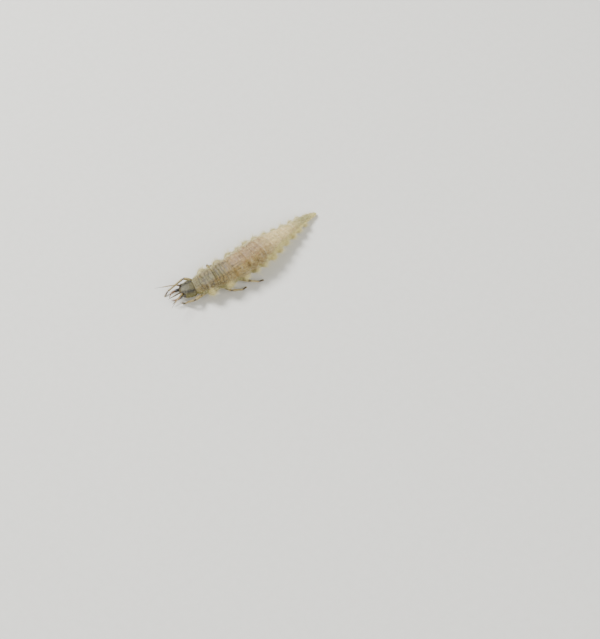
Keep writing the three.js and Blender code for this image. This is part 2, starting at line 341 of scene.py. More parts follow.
def rough(s, angle, sizes, seed, start=0):
    """The start and, added to it, a random field for each of the sizes (cells, height)."""
    fields = (rise * lumps(s, angle, cells, seed + number) for number, (cells, rise) in enumerate(sizes))
    return sum(fields, start)


# Side tubercles: one pair on each segment but the neck and the last two, shorter towards the tail.
# Root and drop are shares of the trunk's half width and height, and tilt is the rise for each mm out.
TUBERCLE_STATIONS = (SEGMENT_ENDS[1:-3] + SEGMENT_ENDS[2:-2]) / 2
TUBERCLE_ROOT, TUBERCLE_DROP, TUBERCLE_TILT = 0.72, 0.08, 0.08
TUBERCLE_UNEVEN, TUBERCLE_SHIFT = 0.12, 0.03  # by how much one's length differs, and its station in mm
TUBERCLE_LUMPS = (((110, 50), 0.03), ((220, 100), 0.012))  # cells along and round the body, and height
tubercle_reach = profile([
    (1.5, 0.2), (2.5, 0.21), (3.4, 0.2), (4.05, 0.17), (4.6, 0.2),
    (5.2, 0.19), (6.4, 0.15), (7.6, 0.12), (8.2, 0.1),
])
tubercle_width = profile([
    (1.5, 0.24), (2.5, 0.27), (4.05, 0.18), (4.6, 0.22), (6.4, 0.18), (8.2, 0.12),
])
TUBERCLE_STRETCH = 1.1  # how much longer it is along the body than high
SOFT_EDGE = 0.07  # how widely a tubercle's foot is rounded off
TUBERCLE_FALL = 3.0  # how steeply its oval dives under the skin beyond its rim
TUBERCLE_CLEAR = 0.16  # how far it has pushed the skin out where all is tubercle
COAT_DEPTH, TUFT_DEPTH = 0.045, 0.09  # how far the skin's mean lies inside the solids, under pile and tufts

# Folds across the back of the thorax and of the abdomen: (share of the segment's length, depth).
THORAX_FOLDS = ((0.3, 0.03), (0.62, 0.016))
ABDOMEN_FOLDS = ((0.5, 0.02), (0.24, 0.009), (0.78, 0.009))
FOLD_WIDTH, FOLD_WANDER, FOLD_UNEVEN = 0.04, 0.03, 0.5
JOINT_FOLD, JOINT_WIDTH, JOINT_WANDER = 0.03, 0.035, 0.02
JOINT_RIM, RIM_SHARE = 0.085, 0.4  # how far its rims stand from a joint, and their height beside its depth
SWELL = 0.1  # the share by which a segment is narrower at its ends
FOLDS_BEGIN, SWELL_BEGINS, FURROWS_BEGIN = (0.85, 1.1), (0.95, 1.2), (1.2, 2.0)  # stations: none to full
PLEAT_STEP, PLEAT_DEPTH, PLEAT_SWAY = 0.19, 0.014, 2.2  # the pleats across the thorax, with painted shade in their furrows
PLEAT_STRETCH = (0.95, 1.15, 2.4, 3.2)  # stations where they begin, are full, fade and end
PLEAT_TURN = (0.8, 1.3)  # radians from the top where they fade and end
FURROWS = ((0, 0.01, 0.05), (58, 0.014, 0.06), (112, 0.026, 0.07))  # degrees, depth, width
WART_ANGLE, WART_HEIGHT, WART_WIDTH = np.radians(37), 0.028, 0.085
HIPS = ((1.4, 0.045), (2.3, 0.05), (3.2, 0.05))  # station and height of the mounds that carry the legs
HIP_ANGLE, HIP_WIDTH = np.radians(122), 0.2
TAIL_PAD = (9.22, 0.02, 0.07)  # station, height and width of the soft ring at the tail tip
SKIN_LUMPS = (((45, 24), 0.014), ((95, 50), 0.010), ((190, 96), 0.006))
FULL_BUMPS = 0.45  # mean half size of the trunk from which on the bumps have their full height


def segment_of(s):
    """The index of the segment at a station, its length, and the share of it that lies before."""
    i = np.clip(np.searchsorted(SEGMENT_ENDS, s, side="right") - 1, 0, len(SEGMENT_ENDS) - 2)
    length = SEGMENT_ENDS[i + 1] - SEGMENT_ENDS[i]
    return i, length, np.clip((s - SEGMENT_ENDS[i]) / length, 0, 1)


def from_joint(s, angle):
    """How far the nearest joint lies before a place: the joints wander a little sideways."""
    _, length, share = segment_of(s)
    return (share - np.round(share)) * length + JOINT_WANDER * lumps(s, angle, (30, 14), 3)


def cross_pleats(s, angle):
    """From 0 to 1, the furrows across the back of the thorax: the cube of a wave along the body that a
    random field pushes back and forth."""
    wave = 0.5 + 0.5 * np.cos(2 * np.pi * s / PLEAT_STEP + PLEAT_SWAY * lumps(s, angle, (34, 14), 12))
    return wave**3 * stretch(s, *PLEAT_STRETCH) * (1 - eased(np.abs(angle), *PLEAT_TURN))


def folds(s, angle):
    """Depth of all folds: one with raised rims where two segments meet, smaller ones across the back and
    belly, pleats across the thorax, and furrows along the middle and the sides."""
    segment, length, share = segment_of(s)
    uneven = 1 + FOLD_UNEVEN * lumps(s, angle, (50, 18), 8)
    wander = FOLD_WANDER * lumps(s, angle, (40, 12), 4)
    gap = np.abs(from_joint(s, angle))
    rims = RIM_SHARE * hump(gap - JOINT_RIM, JOINT_WIDTH)
    depth = JOINT_FOLD * uneven * (hump(gap, JOINT_WIDTH) - rims)
    level = np.abs(np.cos(angle)) ** 0.5
    thorax = (segment > 0) & (segment < FIRST_ABDOMEN)
    for inside, its_folds in ((thorax, THORAX_FOLDS), (segment >= FIRST_ABDOMEN, ABDOMEN_FOLDS)):
        for at, deep in its_folds:
            depth = depth + inside * deep * level * uneven * hump((share - at) * length + wander, FOLD_WIDTH)
    depth = depth + PLEAT_DEPTH * cross_pleats(s, angle)
    for at, deep, width in FURROWS:
        off = (np.abs(angle) - np.radians(at)) * trunk_width(s)
        depth = depth + deep * hump(off + 0.5 * wander, width) * eased(s, *FURROWS_BEGIN)
    return depth * eased(s, *FOLDS_BEGIN)


def bumps(s, angle):
    """Height of the warts of the back, the hips, the pad at the tail and the lumps of the skin."""
    turn = np.abs(angle)
    size = (trunk_width(s) + trunk_height(s)) / 2
    height = np.zeros(np.broadcast(s, angle).shape)
    for station in TUBERCLE_STATIONS:
        width = WART_WIDTH * trunk_width(station) / trunk_width(WIDEST)
        height += WART_HEIGHT * hump(s - station, width) * hump((turn - WART_ANGLE) * size, width)
    for station, rise in HIPS:
        height += rise * hump(s - station, HIP_WIDTH) * hump((turn - HIP_ANGLE) * size, HIP_WIDTH)
    at, rise, width = TAIL_PAD
    height += rise * hump(s - at, width)
    return rough(s, angle, SKIN_LUMPS, 5, height) * np.minimum(size / FULL_BUMPS, 1)


def tubercle_push(s, side, out, height):
    """The distance out from the middle plane where side tubercles push the skin out: the larger, with a
    rounded edge, of the skin's own distance and each tubercle's oval. Also how much of it is tubercle."""
    own = out
    for number, station in enumerate(TUBERCLE_STATIONS):
        wobble = np.sin(2.4 * number + 1.3 * side)
        width = tubercle_width(station)
        root = trunk_width(station) * TUBERCLE_ROOT
        reach = tubercle_reach(station) * (1 + TUBERCLE_UNEVEN * wobble)
        length = trunk_width(station) - root + reach - TUFT_DEPTH
        level = TUBERCLE_TILT * length / 2 - trunk_height(station) * TUBERCLE_DROP
        off = (s - station - TUBERCLE_SHIFT * wobble) / TUBERCLE_STRETCH
        left = 1 - (off / width) ** 2 - ((height - level) / width) ** 2
        oval_out = root + length * np.where(left > 0, np.sqrt(np.maximum(left, 0)), TUBERCLE_FALL * left)
        out = (out + oval_out + np.sqrt((out - oval_out) ** 2 + SOFT_EDGE**2)) / 2
    return out, eased(out - own, SOFT_EDGE / 2, TUBERCLE_CLEAR)


def skin_shape(s, angle, shrink=1.0):
    """Points of the skin in mm and how much of each is tubercle. The rounded oval round the middle line
    swells in each segment, folds and bumps move it in and out, tubercles push it sideways,
    and what would hang under the floor is flat on it."""
    s, angle, shrink = np.broadcast_arrays(s, angle, shrink)
    swell = 1 - SWELL * np.abs(2 * segment_of(s)[2] - 1) ** 3 * eased(s, *SWELL_BEGINS)
    change = bumps(s, angle) - folds(s, angle) - COAT_DEPTH
    half_width = (trunk_width(s) * swell + change) * shrink
    half_height = (trunk_height(s) * swell + change) * shrink
    rise, out = oval(angle)
    side = np.sign(out)
    height = half_height * rise
    width, tubercle = tubercle_push(s, side, half_width * np.abs(out), height)
    width = width + tubercle * rough(s, angle, TUBERCLE_LUMPS, 9)
    left, up = directions(s)
    points = middle(s) + up * height[..., None] + left * (side * width)[..., None]
    points[..., 2] = np.maximum(points[..., 2], 0)
    return points, tubercle


# Colours of the skin, and how strongly the ones that change along the body lie at each station.
FRONT_BACK, REAR_BACK, TAIL_BACK, THORAX_BACK = "b3996d", "ead69a", "aeab76", "7a744c"
# The fourth colour below is painted shade in the furrows of the thorax pleats.
STRIPE, FRONT_STRIPE, HEART_LINE, PLEAT, STREAK = "a28a50", "685a2c", "8a7260", "3a3422", "574c36"
# The last colour below is both the pale of the wart tips and of a painted highlight along the joints.
BLOTCH, RED_DOT, BELLY, PALE_SPOT_AND_HIGHLIGHT = "6e5830", "7c4a30", "b8ae7e", "ecdfb8"
# The right side's paler tones are painted sheen where light grazes that side; both sides are alike.
CREAM, SHADED_SIDE, CREAM_AND_SHEEN_RIGHT, SHEEN_RIGHT = "ebe096", "746e34", "e0d9ac", "dbd9b2"
rear_along = profile([(4.8, 0), (5.8, 1)])
tail_along = profile([(6.7, 0), (8.3, 1)])
thorax_along = profile([(2.3, 1), (3.2, 0)])
tip_along = profile([(8.6, 0), (9.1, 0.65)])
heart_along = profile([(2.0, 0), (2.6, 0.5), (4.6, 0.5), (6.0, 0.15), (8.5, 0)])
stripe_along = profile([
    (0.8, 0), (1.1, 0.85), (2.2, 0.95), (4.3, 0.95), (4.9, 0.5), (5.6, 0.12), (7.6, 0.06), (8.3, 0),
])
front_stripe_along = profile([(1.6, 0.95), (2.9, 0)])
blotch_along = profile([(3.6, 0.7), (4.9, 0.7), (5.6, 0.35), (7.6, 0.3), (8.2, 0)])
streak_along = profile([(0.9, 0), (1.2, 0.6), (3.0, 0.55), (4.6, 0.35), (6.0, 0.12), (8.5, 0.12)])
side_from = profile([(1.0, 70), (2.0, 82), (4.4, 84), (5.5, 62), (7.5, 54), (8.8, 45)])  # degrees
# where the cream of the sides covers the painted shade of the front flanks
cream_along = profile([(3.6, 0.15), (5.0, 0.9)])
sheen_along = profile([(0.9, 0.3), (1.5, 0.5), (2.4, 0.6), (3.4, 1)])  # painted sheen on the right side
STRIPE_UNDER_SHEEN_RIGHT = 0.4  # painted sheen fades the right side's stripe early into its cream edge
RIGHT_SHEEN_FROM, RIGHT_SHEEN_TO, RIGHT_CREAM_FROM, RIGHT_CREAM_TO = 28, 54, 53, 70  # degrees
SPOT_ANGLE, SPOT_LONG, SPOT_WIDE = 43, 0.045, 8  # the pale tips of the warts: degrees, mm, degrees
RAGGED = 9  # degrees by which the edges of the markings wander
RAGGED_SIZES = (((90, 40), 0.6), ((230, 110), 0.4))  # cells along and round the body, and share
STRIPE_EDGES = (14, 30, 66, 84)  # degrees where the stripes begin, are full, fade and end
HEART_WIDE, BELLY_FROM, BELLY_FULL = 7, 104, 124  # degrees
BLOTCH_ANGLE, BLOTCH_LONG, BLOTCH_WIDE = 51, 0.1, 9  # degrees, mm, degrees
DOT_ANGLE, DOT_LONG, DOT_WIDE = 25, 0.06, 5  # the same
DOT_SHIFTS = (-0.15, 0.2)  # how far the red dots lie from a joint
# Width and stations of the painted highlight along the joints of the abdomen.
JOINT_LINE_LONG, JOINT_LINE_STRETCH = 0.035, (3.9, 4.9, 7.6, 8.2)


def laid_over(layers):
    """Linear red, green and blue: each layer's colour blended over those before it by its share."""
    under = np.zeros(3)
    for share, code in layers:
        hidden = np.clip(share, 0, 1)[..., None]
        under = under + (np.array(colour(code)[:3]) - under) * hidden
    return under


def skin_tones(s, angle, tubercle):
    """The skin's colours, in layers worked out from the place on the body: olive-grey thorax, tan and then
    cream back, brown stripes, line over the heart, pleats with painted shade in their furrows, blotches at
    the joints, red dots, pale wart tips, a pale painted highlight along the joints, and the cream of the
    sides, tubercles and tail tip. Painted shade darkens the front flanks, and painted sheen pales the right
    side and its cream edge. A random field makes the edges ragged."""
    s, angle, tubercle = np.broadcast_arrays(s, angle, tubercle)
    ragged = rough(s, angle, RAGGED_SIZES, 31)
    edge = np.degrees(np.abs(angle)) + RAGGED * ragged
    right = angle < 0
    # painted sheen pales the right side and fades its stripe, where light grazes it
    pale = right * sheen_along(s)
    stripe = stretch(edge, *STRIPE_EDGES) * stripe_along(s) * np.where(right, STRIPE_UNDER_SHEEN_RIGHT, 1)
    blotches, dots, spots = np.zeros(s.shape), np.zeros(s.shape), np.zeros(s.shape)
    for number, joint in enumerate(SEGMENT_ENDS[FIRST_ABDOMEN:-3]):
        sway = np.sin(2.1 * number)
        wide = hump(edge - BLOTCH_ANGLE - 5 * sway, BLOTCH_WIDE)
        blotches += hump(s - joint - 0.07 * sway, BLOTCH_LONG) * wide
        for shift in DOT_SHIFTS:
            dots += hump(s - joint - shift, DOT_LONG) * hump(edge - DOT_ANGLE - 3 * sway, DOT_WIDE)
    for number, station in enumerate(TUBERCLE_STATIONS):
        sway = np.sin(1.7 * number)
        spots += hump(s - station - 0.04 * sway, SPOT_LONG) * hump(edge - SPOT_ANGLE - 4 * sway, SPOT_WIDE)
    # on the right side the cream edge, paled by painted sheen, begins higher
    start = np.where(right, np.minimum(side_from(s), RIGHT_CREAM_FROM), side_from(s))
    side = eased(edge, start - 8, start + 10)
    # a pale painted highlight along each joint
    joint_highlight = hump(from_joint(s, angle), JOINT_LINE_LONG) * stretch(s, *JOINT_LINE_STRETCH)
    everywhere = np.ones(s.shape)
    return laid_over([
        (everywhere, FRONT_BACK),
        (rear_along(s), REAR_BACK),
        (tail_along(s), TAIL_BACK),
        (thorax_along(s), THORAX_BACK),
        (heart_along(s) * hump(edge, HEART_WIDE), HEART_LINE),
        (stripe, STRIPE),
        (stripe * front_stripe_along(s), FRONT_STRIPE),
        (0.6 * stripe * eased(ragged, 0.1, 0.7), BLOTCH),
        (1.3 * streak_along(s) * eased(lumps(s, angle, (28, 84), 33), 0.15, 0.75), STREAK),
        # painted sheen on the right side of the back
        (0.7 * pale * eased(edge, RIGHT_SHEEN_FROM, RIGHT_SHEEN_TO), SHEEN_RIGHT),
        # painted shade in the furrows of the thorax pleats
        (0.65 * cross_pleats(s, angle), PLEAT),
        (blotch_along(s) * blotches, BLOTCH),
        (0.6 * dots * (1 - eased(s, 5.2, 6.0)), RED_DOT),
        (0.6 * spots * eased(ragged, -0.5, 0.3), PALE_SPOT_AND_HIGHLIGHT),
        # painted highlight along the joints
        (0.5 * joint_highlight, PALE_SPOT_AND_HIGHLIGHT),
        # painted shade on the front flanks, under the cream that grows towards the rear
        (side, SHADED_SIDE),
        (side * cream_along(s), CREAM),
        # painted sheen on the right side's cream edge
        (side * pale * (1 - eased(edge, RIGHT_CREAM_TO, RIGHT_CREAM_TO + 14)), CREAM_AND_SHEEN_RIGHT),
        (eased(edge, BELLY_FROM, BELLY_FULL), BELLY),
        (0.9 * tubercle, CREAM),
        # painted sheen on the right side's tubercles
        (0.9 * tubercle * right, CREAM_AND_SHEEN_RIGHT),
        (tip_along(s), CREAM),
    ])


INNER_LIGHT = (1.0, 0.58, 0.3)  # light that enters skin and horn comes out farthest in its red part


def skin_finish():
    """Soft satin skin in its tones, darker in streaks along the body and in grains, with pale pimples,
    fine pleats across the body with painted shade in their grooves, and light that enters it to a depth
    of 0.1 mm."""
    finish, tree, shader, spot = new_finish("skin")
    tone = node(tree, "Attribute", attribute_name="tone").outputs["Color"]
    stretched = node(tree, "Mapping", {"Vector": spot, "Scale": (16, 3.5, 16)}).outputs["Vector"]
    streaks = speckle(tree, stretched, 1, 4, 0.65)
    grain = speckle(tree, spot, 45, 4, 0.65)
    pimple = node(tree, "TexVoronoi", {"Vector": spot, "Scale": 24}).outputs["Distance"]
    laid = node(tree, "UVMap", uv_map="lie").outputs["UV"]
    pleats = node(tree, "Mapping", {"Vector": laid, "Scale": (26, 5, 1)}).outputs["Vector"]
    pleat = speckle(tree, pleats, 1, 3)
    tone = shaded(tree, tone, streaks, 0.42, 0.68, 0.6, "a98b6c")
    tone = shaded(tree, tone, grain, 0.45, 0.7, 0.5, "a08a70")
    # painted shade: darker in the grooves of the fine pleats
    tone = shaded(tree, tone, pleat, 0.5, 0.3, 0.35, "8f7a60")
    tone = blend_colours(tree, between(tree, pimple, 0.1, 0.3, 0.14, 0), tone, colour("e2d6ae"))
    cover(tree, shader, tone, between(tree, grain, 0.3, 0.7, 0.45, 0.68),
          [(pleat, 0.00002, 0.6), (pimple, 0.000012, -0.5), (grain, 0.000006, 0.7)],
          Subsurface_Weight=0.22, Subsurface_Radius=INNER_LIGHT, Subsurface_Scale=0.0001)
    return finish


def tube_faces(rows, sides):
    """Faces round a grid of rings: four-sided ones between the rings, and a fan over each end round one
    more point. Corners go round so that faces point out where the angle grows to the left of the path."""
    r, k = np.meshgrid(np.arange(rows - 1), np.arange(sides), indexing="ij")
    following = (k + 1) % sides
    quads = np.stack([r * sides + k, r * sides + following, (r + 1) * sides + following,
                      (r + 1) * sides + k], axis=-1).reshape(-1, 4)
    side = np.arange(sides)
    beyond = (side + 1) % sides
    first_hub, last_hub = rows * sides, rows * sides + 1
    last = (rows - 1) * sides
    front = np.stack([beyond, side, np.full(sides, first_hub)], axis=-1)
    behind = np.stack([last + side, last + beyond, np.full(sides, last_hub)], axis=-1)
    return quads, np.concatenate([front, behind])


HUB_REACH = 0.004  # how far beyond its last ring a tube's end point lies on its map


def tube_map(along, turns):
    """The corners' places on a map where each ring's share along the tube runs one way and the share of
    the turn runs the other way, in the order of tube_faces. The last turn closes the ring."""
    rows, sides = len(along), len(turns) - 1
    r, k = np.meshgrid(np.arange(rows - 1), np.arange(sides), indexing="ij")
    turn = np.stack([turns[k], turns[k + 1], turns[k + 1], turns[k]], axis=-1)
    way = np.stack([along[r], along[r], along[r + 1], along[r + 1]], axis=-1)
    quads = np.stack([way, turn], axis=-1).reshape(-1, 4, 2)
    here, following = turns[:-1], turns[1:]
    between_them = (here + following) / 2
    front_turn = np.stack([following, here, between_them], axis=-1)
    behind_turn = np.stack([here, following, between_them], axis=-1)
    to_hub = np.array([0, 0, HUB_REACH])
    front = np.stack([np.tile(along[0] - to_hub, (sides, 1)), front_turn], axis=-1)
    behind = np.stack([np.tile(along[-1] + to_hub, (sides, 1)), behind_turn], axis=-1)
    return np.concatenate([quads.reshape(-1, 2), front.reshape(-1, 2), behind.reshape(-1, 2)])


def new_piece(name, points, quads, triangles, finish, slot, nodes=(), maps=(), marks=()):
    """A smooth mesh in metres from points in mm and its four- and three-sided faces, with its maps by
    corner and its marks by point, shares or colours, which rides on the body and stands for the named
    solids."""
    mesh = bpy.data.meshes.new(name)
    mesh.vertices.add(len(points))
    mesh.vertices.foreach_set("co", (points * MM).astype(np.float32).ravel())
    corners = np.concatenate([quads.ravel(), triangles.ravel()])
    starts = np.concatenate([4 * np.arange(len(quads)), quads.size + 3 * np.arange(len(triangles))])
    mesh.loops.add(len(corners))
    mesh.loops.foreach_set("vertex_index", corners.astype(np.int32))
    mesh.polygons.add(len(starts))
    mesh.polygons.foreach_set("loop_start", starts.astype(np.int32))
    mesh.update(calc_edges=True)
    mesh.shade_smooth()
    for map_name, places in dict(maps).items():
        mesh.uv_layers.new(name=map_name).data.foreach_set("uv", places.astype(np.float32).ravel())
    for mark_name, values in dict(marks).items():
        if values.ndim == 1:
            mark = mesh.attributes.new(mark_name, "FLOAT", "POINT")
            mark.data.foreach_set("value", values.astype(np.float32))
        else:
            mark = mesh.attributes.new(mark_name, "FLOAT_COLOR", "POINT")
            covered = np.concatenate([values, np.ones((len(values), 1))], axis=1)
            mark.data.foreach_set("color", covered.astype(np.float32).ravel())
    mesh.materials.append(finish)
    piece = put_in_scene(name, mesh)
    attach(piece, "root")
    if nodes:
        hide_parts(*nodes)


SKIN_START = 0.7  # inside the back of the head
SKIN_ROWS, SKIN_SIDES = 500, 192
SIDE_CROWDING = 0.15  # how much closer the rings' points lie at the sides, where the tubercles are
CLOSING_ROWS = 8  # rings that round off each end
TAIL_ROUND = 0.07
MAP_LENGTH = BODY_LENGTH + 0.05  # the length that the skin's map shows
TUCK = 0.93  # how much narrower the skin is where it goes into the head
SKIN_NODES = ["neck", "prothorax", "mesothorax", "metathorax"] + [f"abdomen_{n}" for n in range(1, 11)]

quarter = np.linspace(0, np.pi / 2, CLOSING_ROWS + 1)[:-1]
stations = np.concatenate([
    np.full(CLOSING_ROWS, SKIN_START),
    np.linspace(SKIN_START, BODY_LENGTH - TAIL_ROUND, SKIN_ROWS),
    BODY_LENGTH - TAIL_ROUND + TAIL_ROUND * np.sin(quarter[1:]),
])
narrowing = np.concatenate([
    np.sin(np.linspace(0.1, np.pi / 2, CLOSING_ROWS + 1)[:-1]),
    np.ones(SKIN_ROWS),
    np.cos(quarter[1:]),
])
narrowing = narrowing * (TUCK + (1 - TUCK) * eased(stations, 0.72, 0.95))
whole_turn = np.linspace(-np.pi, np.pi, SKIN_SIDES + 1)
whole_turn = whole_turn + SIDE_CROWDING * np.sin(2 * whole_turn)
row, turn = stations[:, None], whole_turn[None, :-1]
skin_points, skin_tubercle = skin_shape(row, turn, narrowing[:, None])


def with_hubs(grid):
    """The grid's points or shares in one list, then the mean of its first and of its last ring."""
    flat = grid.reshape(-1, *grid.shape[2:])
    return np.concatenate([flat, grid[:1].mean(axis=1), grid[-1:].mean(axis=1)])


quads, triangles = tube_faces(len(stations), SKIN_SIDES)
laid_out = stations.copy()
laid_out[:CLOSING_ROWS] = np.linspace(SKIN_START / 2, SKIN_START, CLOSING_ROWS + 1)[:-1]
unwrap = tube_map(laid_out / MAP_LENGTH, turn_share(whole_turn))
lie = tube_map(laid_out, turn_share(whole_turn))
lie[:, 1] = (lie[:, 1] - 0.5) * 2 * np.pi * trunk_width(lie[:, 0])
new_piece(
    "skin", with_hubs(skin_points), quads, triangles, skin_finish(), "skin", SKIN_NODES,
    maps={"OFBake": unwrap, "lie": lie},
    marks={"tone": with_hubs(skin_tones(row, turn, skin_tubercle))},
)

# Head
# A flat, hard capsule of satin horn with a rounded front edge between the jaws, a socket rim round
# each feeler, a fine seam shaped like a Y on top and two dark bands that run back from the jaws.
HEAD_BACK = 0.79
HEAD_ROUND = 0.08  # how far back the front edge is rounded, and forwards the rear one
HEAD_ROWS, HEAD_SIDES = 170, 160
REAR_SHARE = 0.78  # how wide the capsule still is at its rear edge, which the skin covers
HEAD_LEAD = 0.02  # how far its front edge stands before station 0
HEAD_MAP_START, HEAD_MAP_LENGTH = -0.03, 0.83  # the stretch that the head's map shows
SEAM_FORK = 0.42  # the station where the seam forks towards the feelers
SEAM_SPREAD, SEAM_DEPTH, SEAM_WIDTH = 0.3, 0.009, 0.014
SOCKET = (0.09, 0.27, 0.06)  # station and distance from the middle of a feeler's socket, and its width
SOCKET_RISE, SOCKET_RIM = 0.03, 0.022  # height and width of its rim
DIMPLES = ((0.5, 0.014, 0.08, 0.06), (0.27, 0.012, 0.05, 0.05))  # station, depth, length and width
BROW_STATION, BROW_ANGLE, BROW_RISE, BROW_LONG, BROW_WIDE = 0.2, np.radians(68), 0.02, 0.08, 0.35
REAR_RIM = (0.71, 0.006, 0.03)  # station, height and width of a rim round the capsule
THROAT_LINES, THROAT_WIDTH = ((0.12, 0.25, 0.018), (0, 0, 0.012)), 0.02  # start, spread to the rear, depth
HEAD_LUMPS = (((150, 20), 0.004), ((330, 44), 0.0015))  # cells and height
head_width = profile([(0, 0.27), (0.12, 0.39), (0.28, 0.47), (0.5, 0.53), (0.65, 0.53), (0.8, 0.47)])
head_height = profile([(0, 0.12), (0.12, 0.18), (0.3, 0.225), (0.5, 0.24), (0.65, 0.23), (0.8, 0.2)])
band_middle = profile([(0.0, 0.15), (0.2, 0.24), (0.5, 0.3), (0.78, 0.31)])
band_width = profile([(0.0, 0.1), (0.15, 0.11), (0.5, 0.14), (0.78, 0.15)])
HEAD_CHEEK, HEAD_MIDDLE, HEAD_BAND, HEAD_RIM = "716c3c", "565134", "211b10", "6a5c3c"
HEAD_RAGGED, HEAD_RAGGED_SIZES = 0.022, (((210, 26), 1), ((480, 60), 0.6))  # mm; cells and share


def head_shape(s, angle, shrink=1.0):
    """Points of the head in mm: a rounded oval whose half sizes follow the profiles, with seam, dimples and
    throat lines pressed in and socket rims, brows, a rear rim and low lumps raised."""
    s, angle, shrink = np.broadcast_arrays(s, angle, shrink)
    rise, out = oval(angle)
    top, bottom = eased(rise, 0.1, 0.5), eased(-rise, 0.1, 0.5)
    across = head_width(s) * np.abs(out)
    fork = SEAM_SPREAD * np.clip((SEAM_FORK - s) / SEAM_FORK, 0, 1)
    change = -SEAM_DEPTH * top * hump(across - fork, SEAM_WIDTH) * eased(s, 0.03, 0.12)
    for at, deep, length, width in DIMPLES:
        change = change - deep * top * hump(s - at, length) * hump(across - band_middle(s), width)
    socket_distance = np.hypot(s - SOCKET[0], across - SOCKET[1])
    change = change + SOCKET_RISE * top * hump(socket_distance - SOCKET[2], SOCKET_RIM)
    brow = hump(s - BROW_STATION, BROW_LONG) * hump(np.abs(angle) - BROW_ANGLE, BROW_WIDE)
    change = change + BROW_RISE * brow + REAR_RIM[1] * hump(s - REAR_RIM[0], REAR_RIM[2])
    for begin, spread, deep in THROAT_LINES:
        change = change - deep * bottom * hump(across - begin - spread * s, THROAT_WIDTH)
    change = rough(s, angle, HEAD_LUMPS, 21, change)
    left, up = directions(s)
    height = (head_height(s) + change) * shrink * rise
    width = (head_width(s) + change) * shrink * out
    return middle(s) + up * height[..., None] + left * width[..., None]


def head_tones(s, angle):
    """The head's colours: olive cheeks and, on top only, a greyer middle and two nearly black bands that
    meet at the roots of the jaws, with brown rims. A random field makes the edges ragged."""
    s, angle = np.broadcast_arrays(s, angle)
    rise, out = oval(angle)
    on_top = eased(rise, 0.05, 0.45)
    ragged = rough(s, angle, HEAD_RAGGED_SIZES, 23)
    across = head_width(s) * np.abs(out) + HEAD_RAGGED * ragged
    band = hump((across - band_middle(s)) / band_width(s), 1.0) * on_top
    rim = np.maximum(hump(s - HEAD_BACK + 0.03, 0.03), hump(s, 0.07))
    return laid_over([
        (np.ones(s.shape), HEAD_CHEEK),
        (0.85 * on_top * hump(across, 0.24), HEAD_MIDDLE),
        (0.25 * on_top * eased(ragged, 0.2, 0.9), HEAD_BAND),
        (0.95 * band, HEAD_BAND),
        (0.45 * rim, HEAD_RIM),
    ])


def head_finish():
    """Satin horn in the head's tones, cloudy, with a scaly grain and a little light inside."""
    finish, tree, shader, spot = new_finish("head_horn")
    tone = node(tree, "Attribute", attribute_name="tone").outputs["Color"]
    cloud = speckle(tree, spot, 16, 4)
    fine = speckle(tree, spot, 70, 3)
    scales = node(tree, "TexVoronoi", {"Vector": spot, "Scale": 36}).outputs["Distance"]
    tone = shaded(tree, tone, cloud, 0.4, 0.7, 0.5, "a89678")
    tone = shaded(tree, tone, fine, 0.45, 0.75, 0.4, "9a8464")
    cover(tree, shader, tone, between(tree, fine, 0.3, 0.7, 0.46, 0.64),
          [(cloud, 0.000004, 0.25), (scales, 0.000005, 0.3), (fine, 0.000003, 0.4)],
          Subsurface_Weight=0.1, Subsurface_Radius=INNER_LIGHT, Subsurface_Scale=0.00005)
    return finish


quarter = np.linspace(0.08, np.pi / 2, CLOSING_ROWS + 1)[:-1]
stations = np.concatenate([
    HEAD_ROUND * (1 - np.cos(quarter)) - HEAD_LEAD,
    np.linspace(HEAD_ROUND - HEAD_LEAD, HEAD_BACK - HEAD_ROUND, HEAD_ROWS),
    HEAD_BACK - HEAD_ROUND + HEAD_ROUND * np.cos(quarter[::-1]),
])
narrowing = np.concatenate([
    np.sin(quarter) ** 0.8,
    np.ones(HEAD_ROWS),
    REAR_SHARE + (1 - REAR_SHARE) * np.sin(quarter[::-1]),
])
whole_turn = np.linspace(-np.pi, np.pi, HEAD_SIDES + 1)
row, turn = stations[:, None], whole_turn[None, :-1]
quads, triangles = tube_faces(len(stations), HEAD_SIDES)
new_piece(
    "head_capsule", with_hubs(head_shape(row, turn, narrowing[:, None])), quads, triangles, head_finish(),
    "head_plate", ["head"],
    maps={"OFBake": tube_map((stations - HEAD_MAP_START) / HEAD_MAP_LENGTH, turn_share(whole_turn))},
    marks={"tone": with_hubs(head_tones(row, turn))},
)

# Eyes
# On each front corner of the head a raised patch of black horn carries six small, clear, domed lenses,
# five in a ring and one in their middle.
EYE_STATION, EYE_LEFT, EYE_RISE = 0.17, 0.385, 0.045
EYE_LOOK = (1.0, -0.5, 0.25)  # the left eye's way: out, forwards and up
EYE_HALF_SIZES = (0.082, 0.097, 0.072)  # mm, the last along the way it looks
EYE_ROWS, EYE_SIDES = 36, 48
LENS_RADIUS, LENS_HEIGHT, LENS_RING, LENS_SUNK = 0.026, 0.018, 0.05, 0.004
RING_LENSES, RING_START, LENS_SPREAD = 5, 0.3, 0.8  # number, radians, and how far they splay
LENS_ROWS, LENS_SIDES = 14, 28


def dome(centre, look_way, half_sizes, rows, sides):
    """A closed oval as a grid of rings round the way it looks, from its back to its front: sines and
    cosines of the angle from the back, times the half sizes."""
    look_way = unit(np.array(look_way, float))
    first = unit(np.cross(UPRIGHT, look_way))
    second = np.cross(look_way, first)
    from_back = np.linspace(0.06, np.pi - 0.06, rows)[:, None, None]
    round_it = np.linspace(-np.pi, np.pi, sides + 1)[None, :-1, None]
    offset = half_sizes[0] * np.sin(from_back) * np.cos(round_it) * first
    offset = offset + half_sizes[1] * np.sin(from_back) * np.sin(round_it) * second
    return centre + offset - half_sizes[2] * np.cos(from_back) * look_way


STRIP_FROM, STRIP_TO = 0.01, 0.99  # the stretch of the map that a grid takes along its length


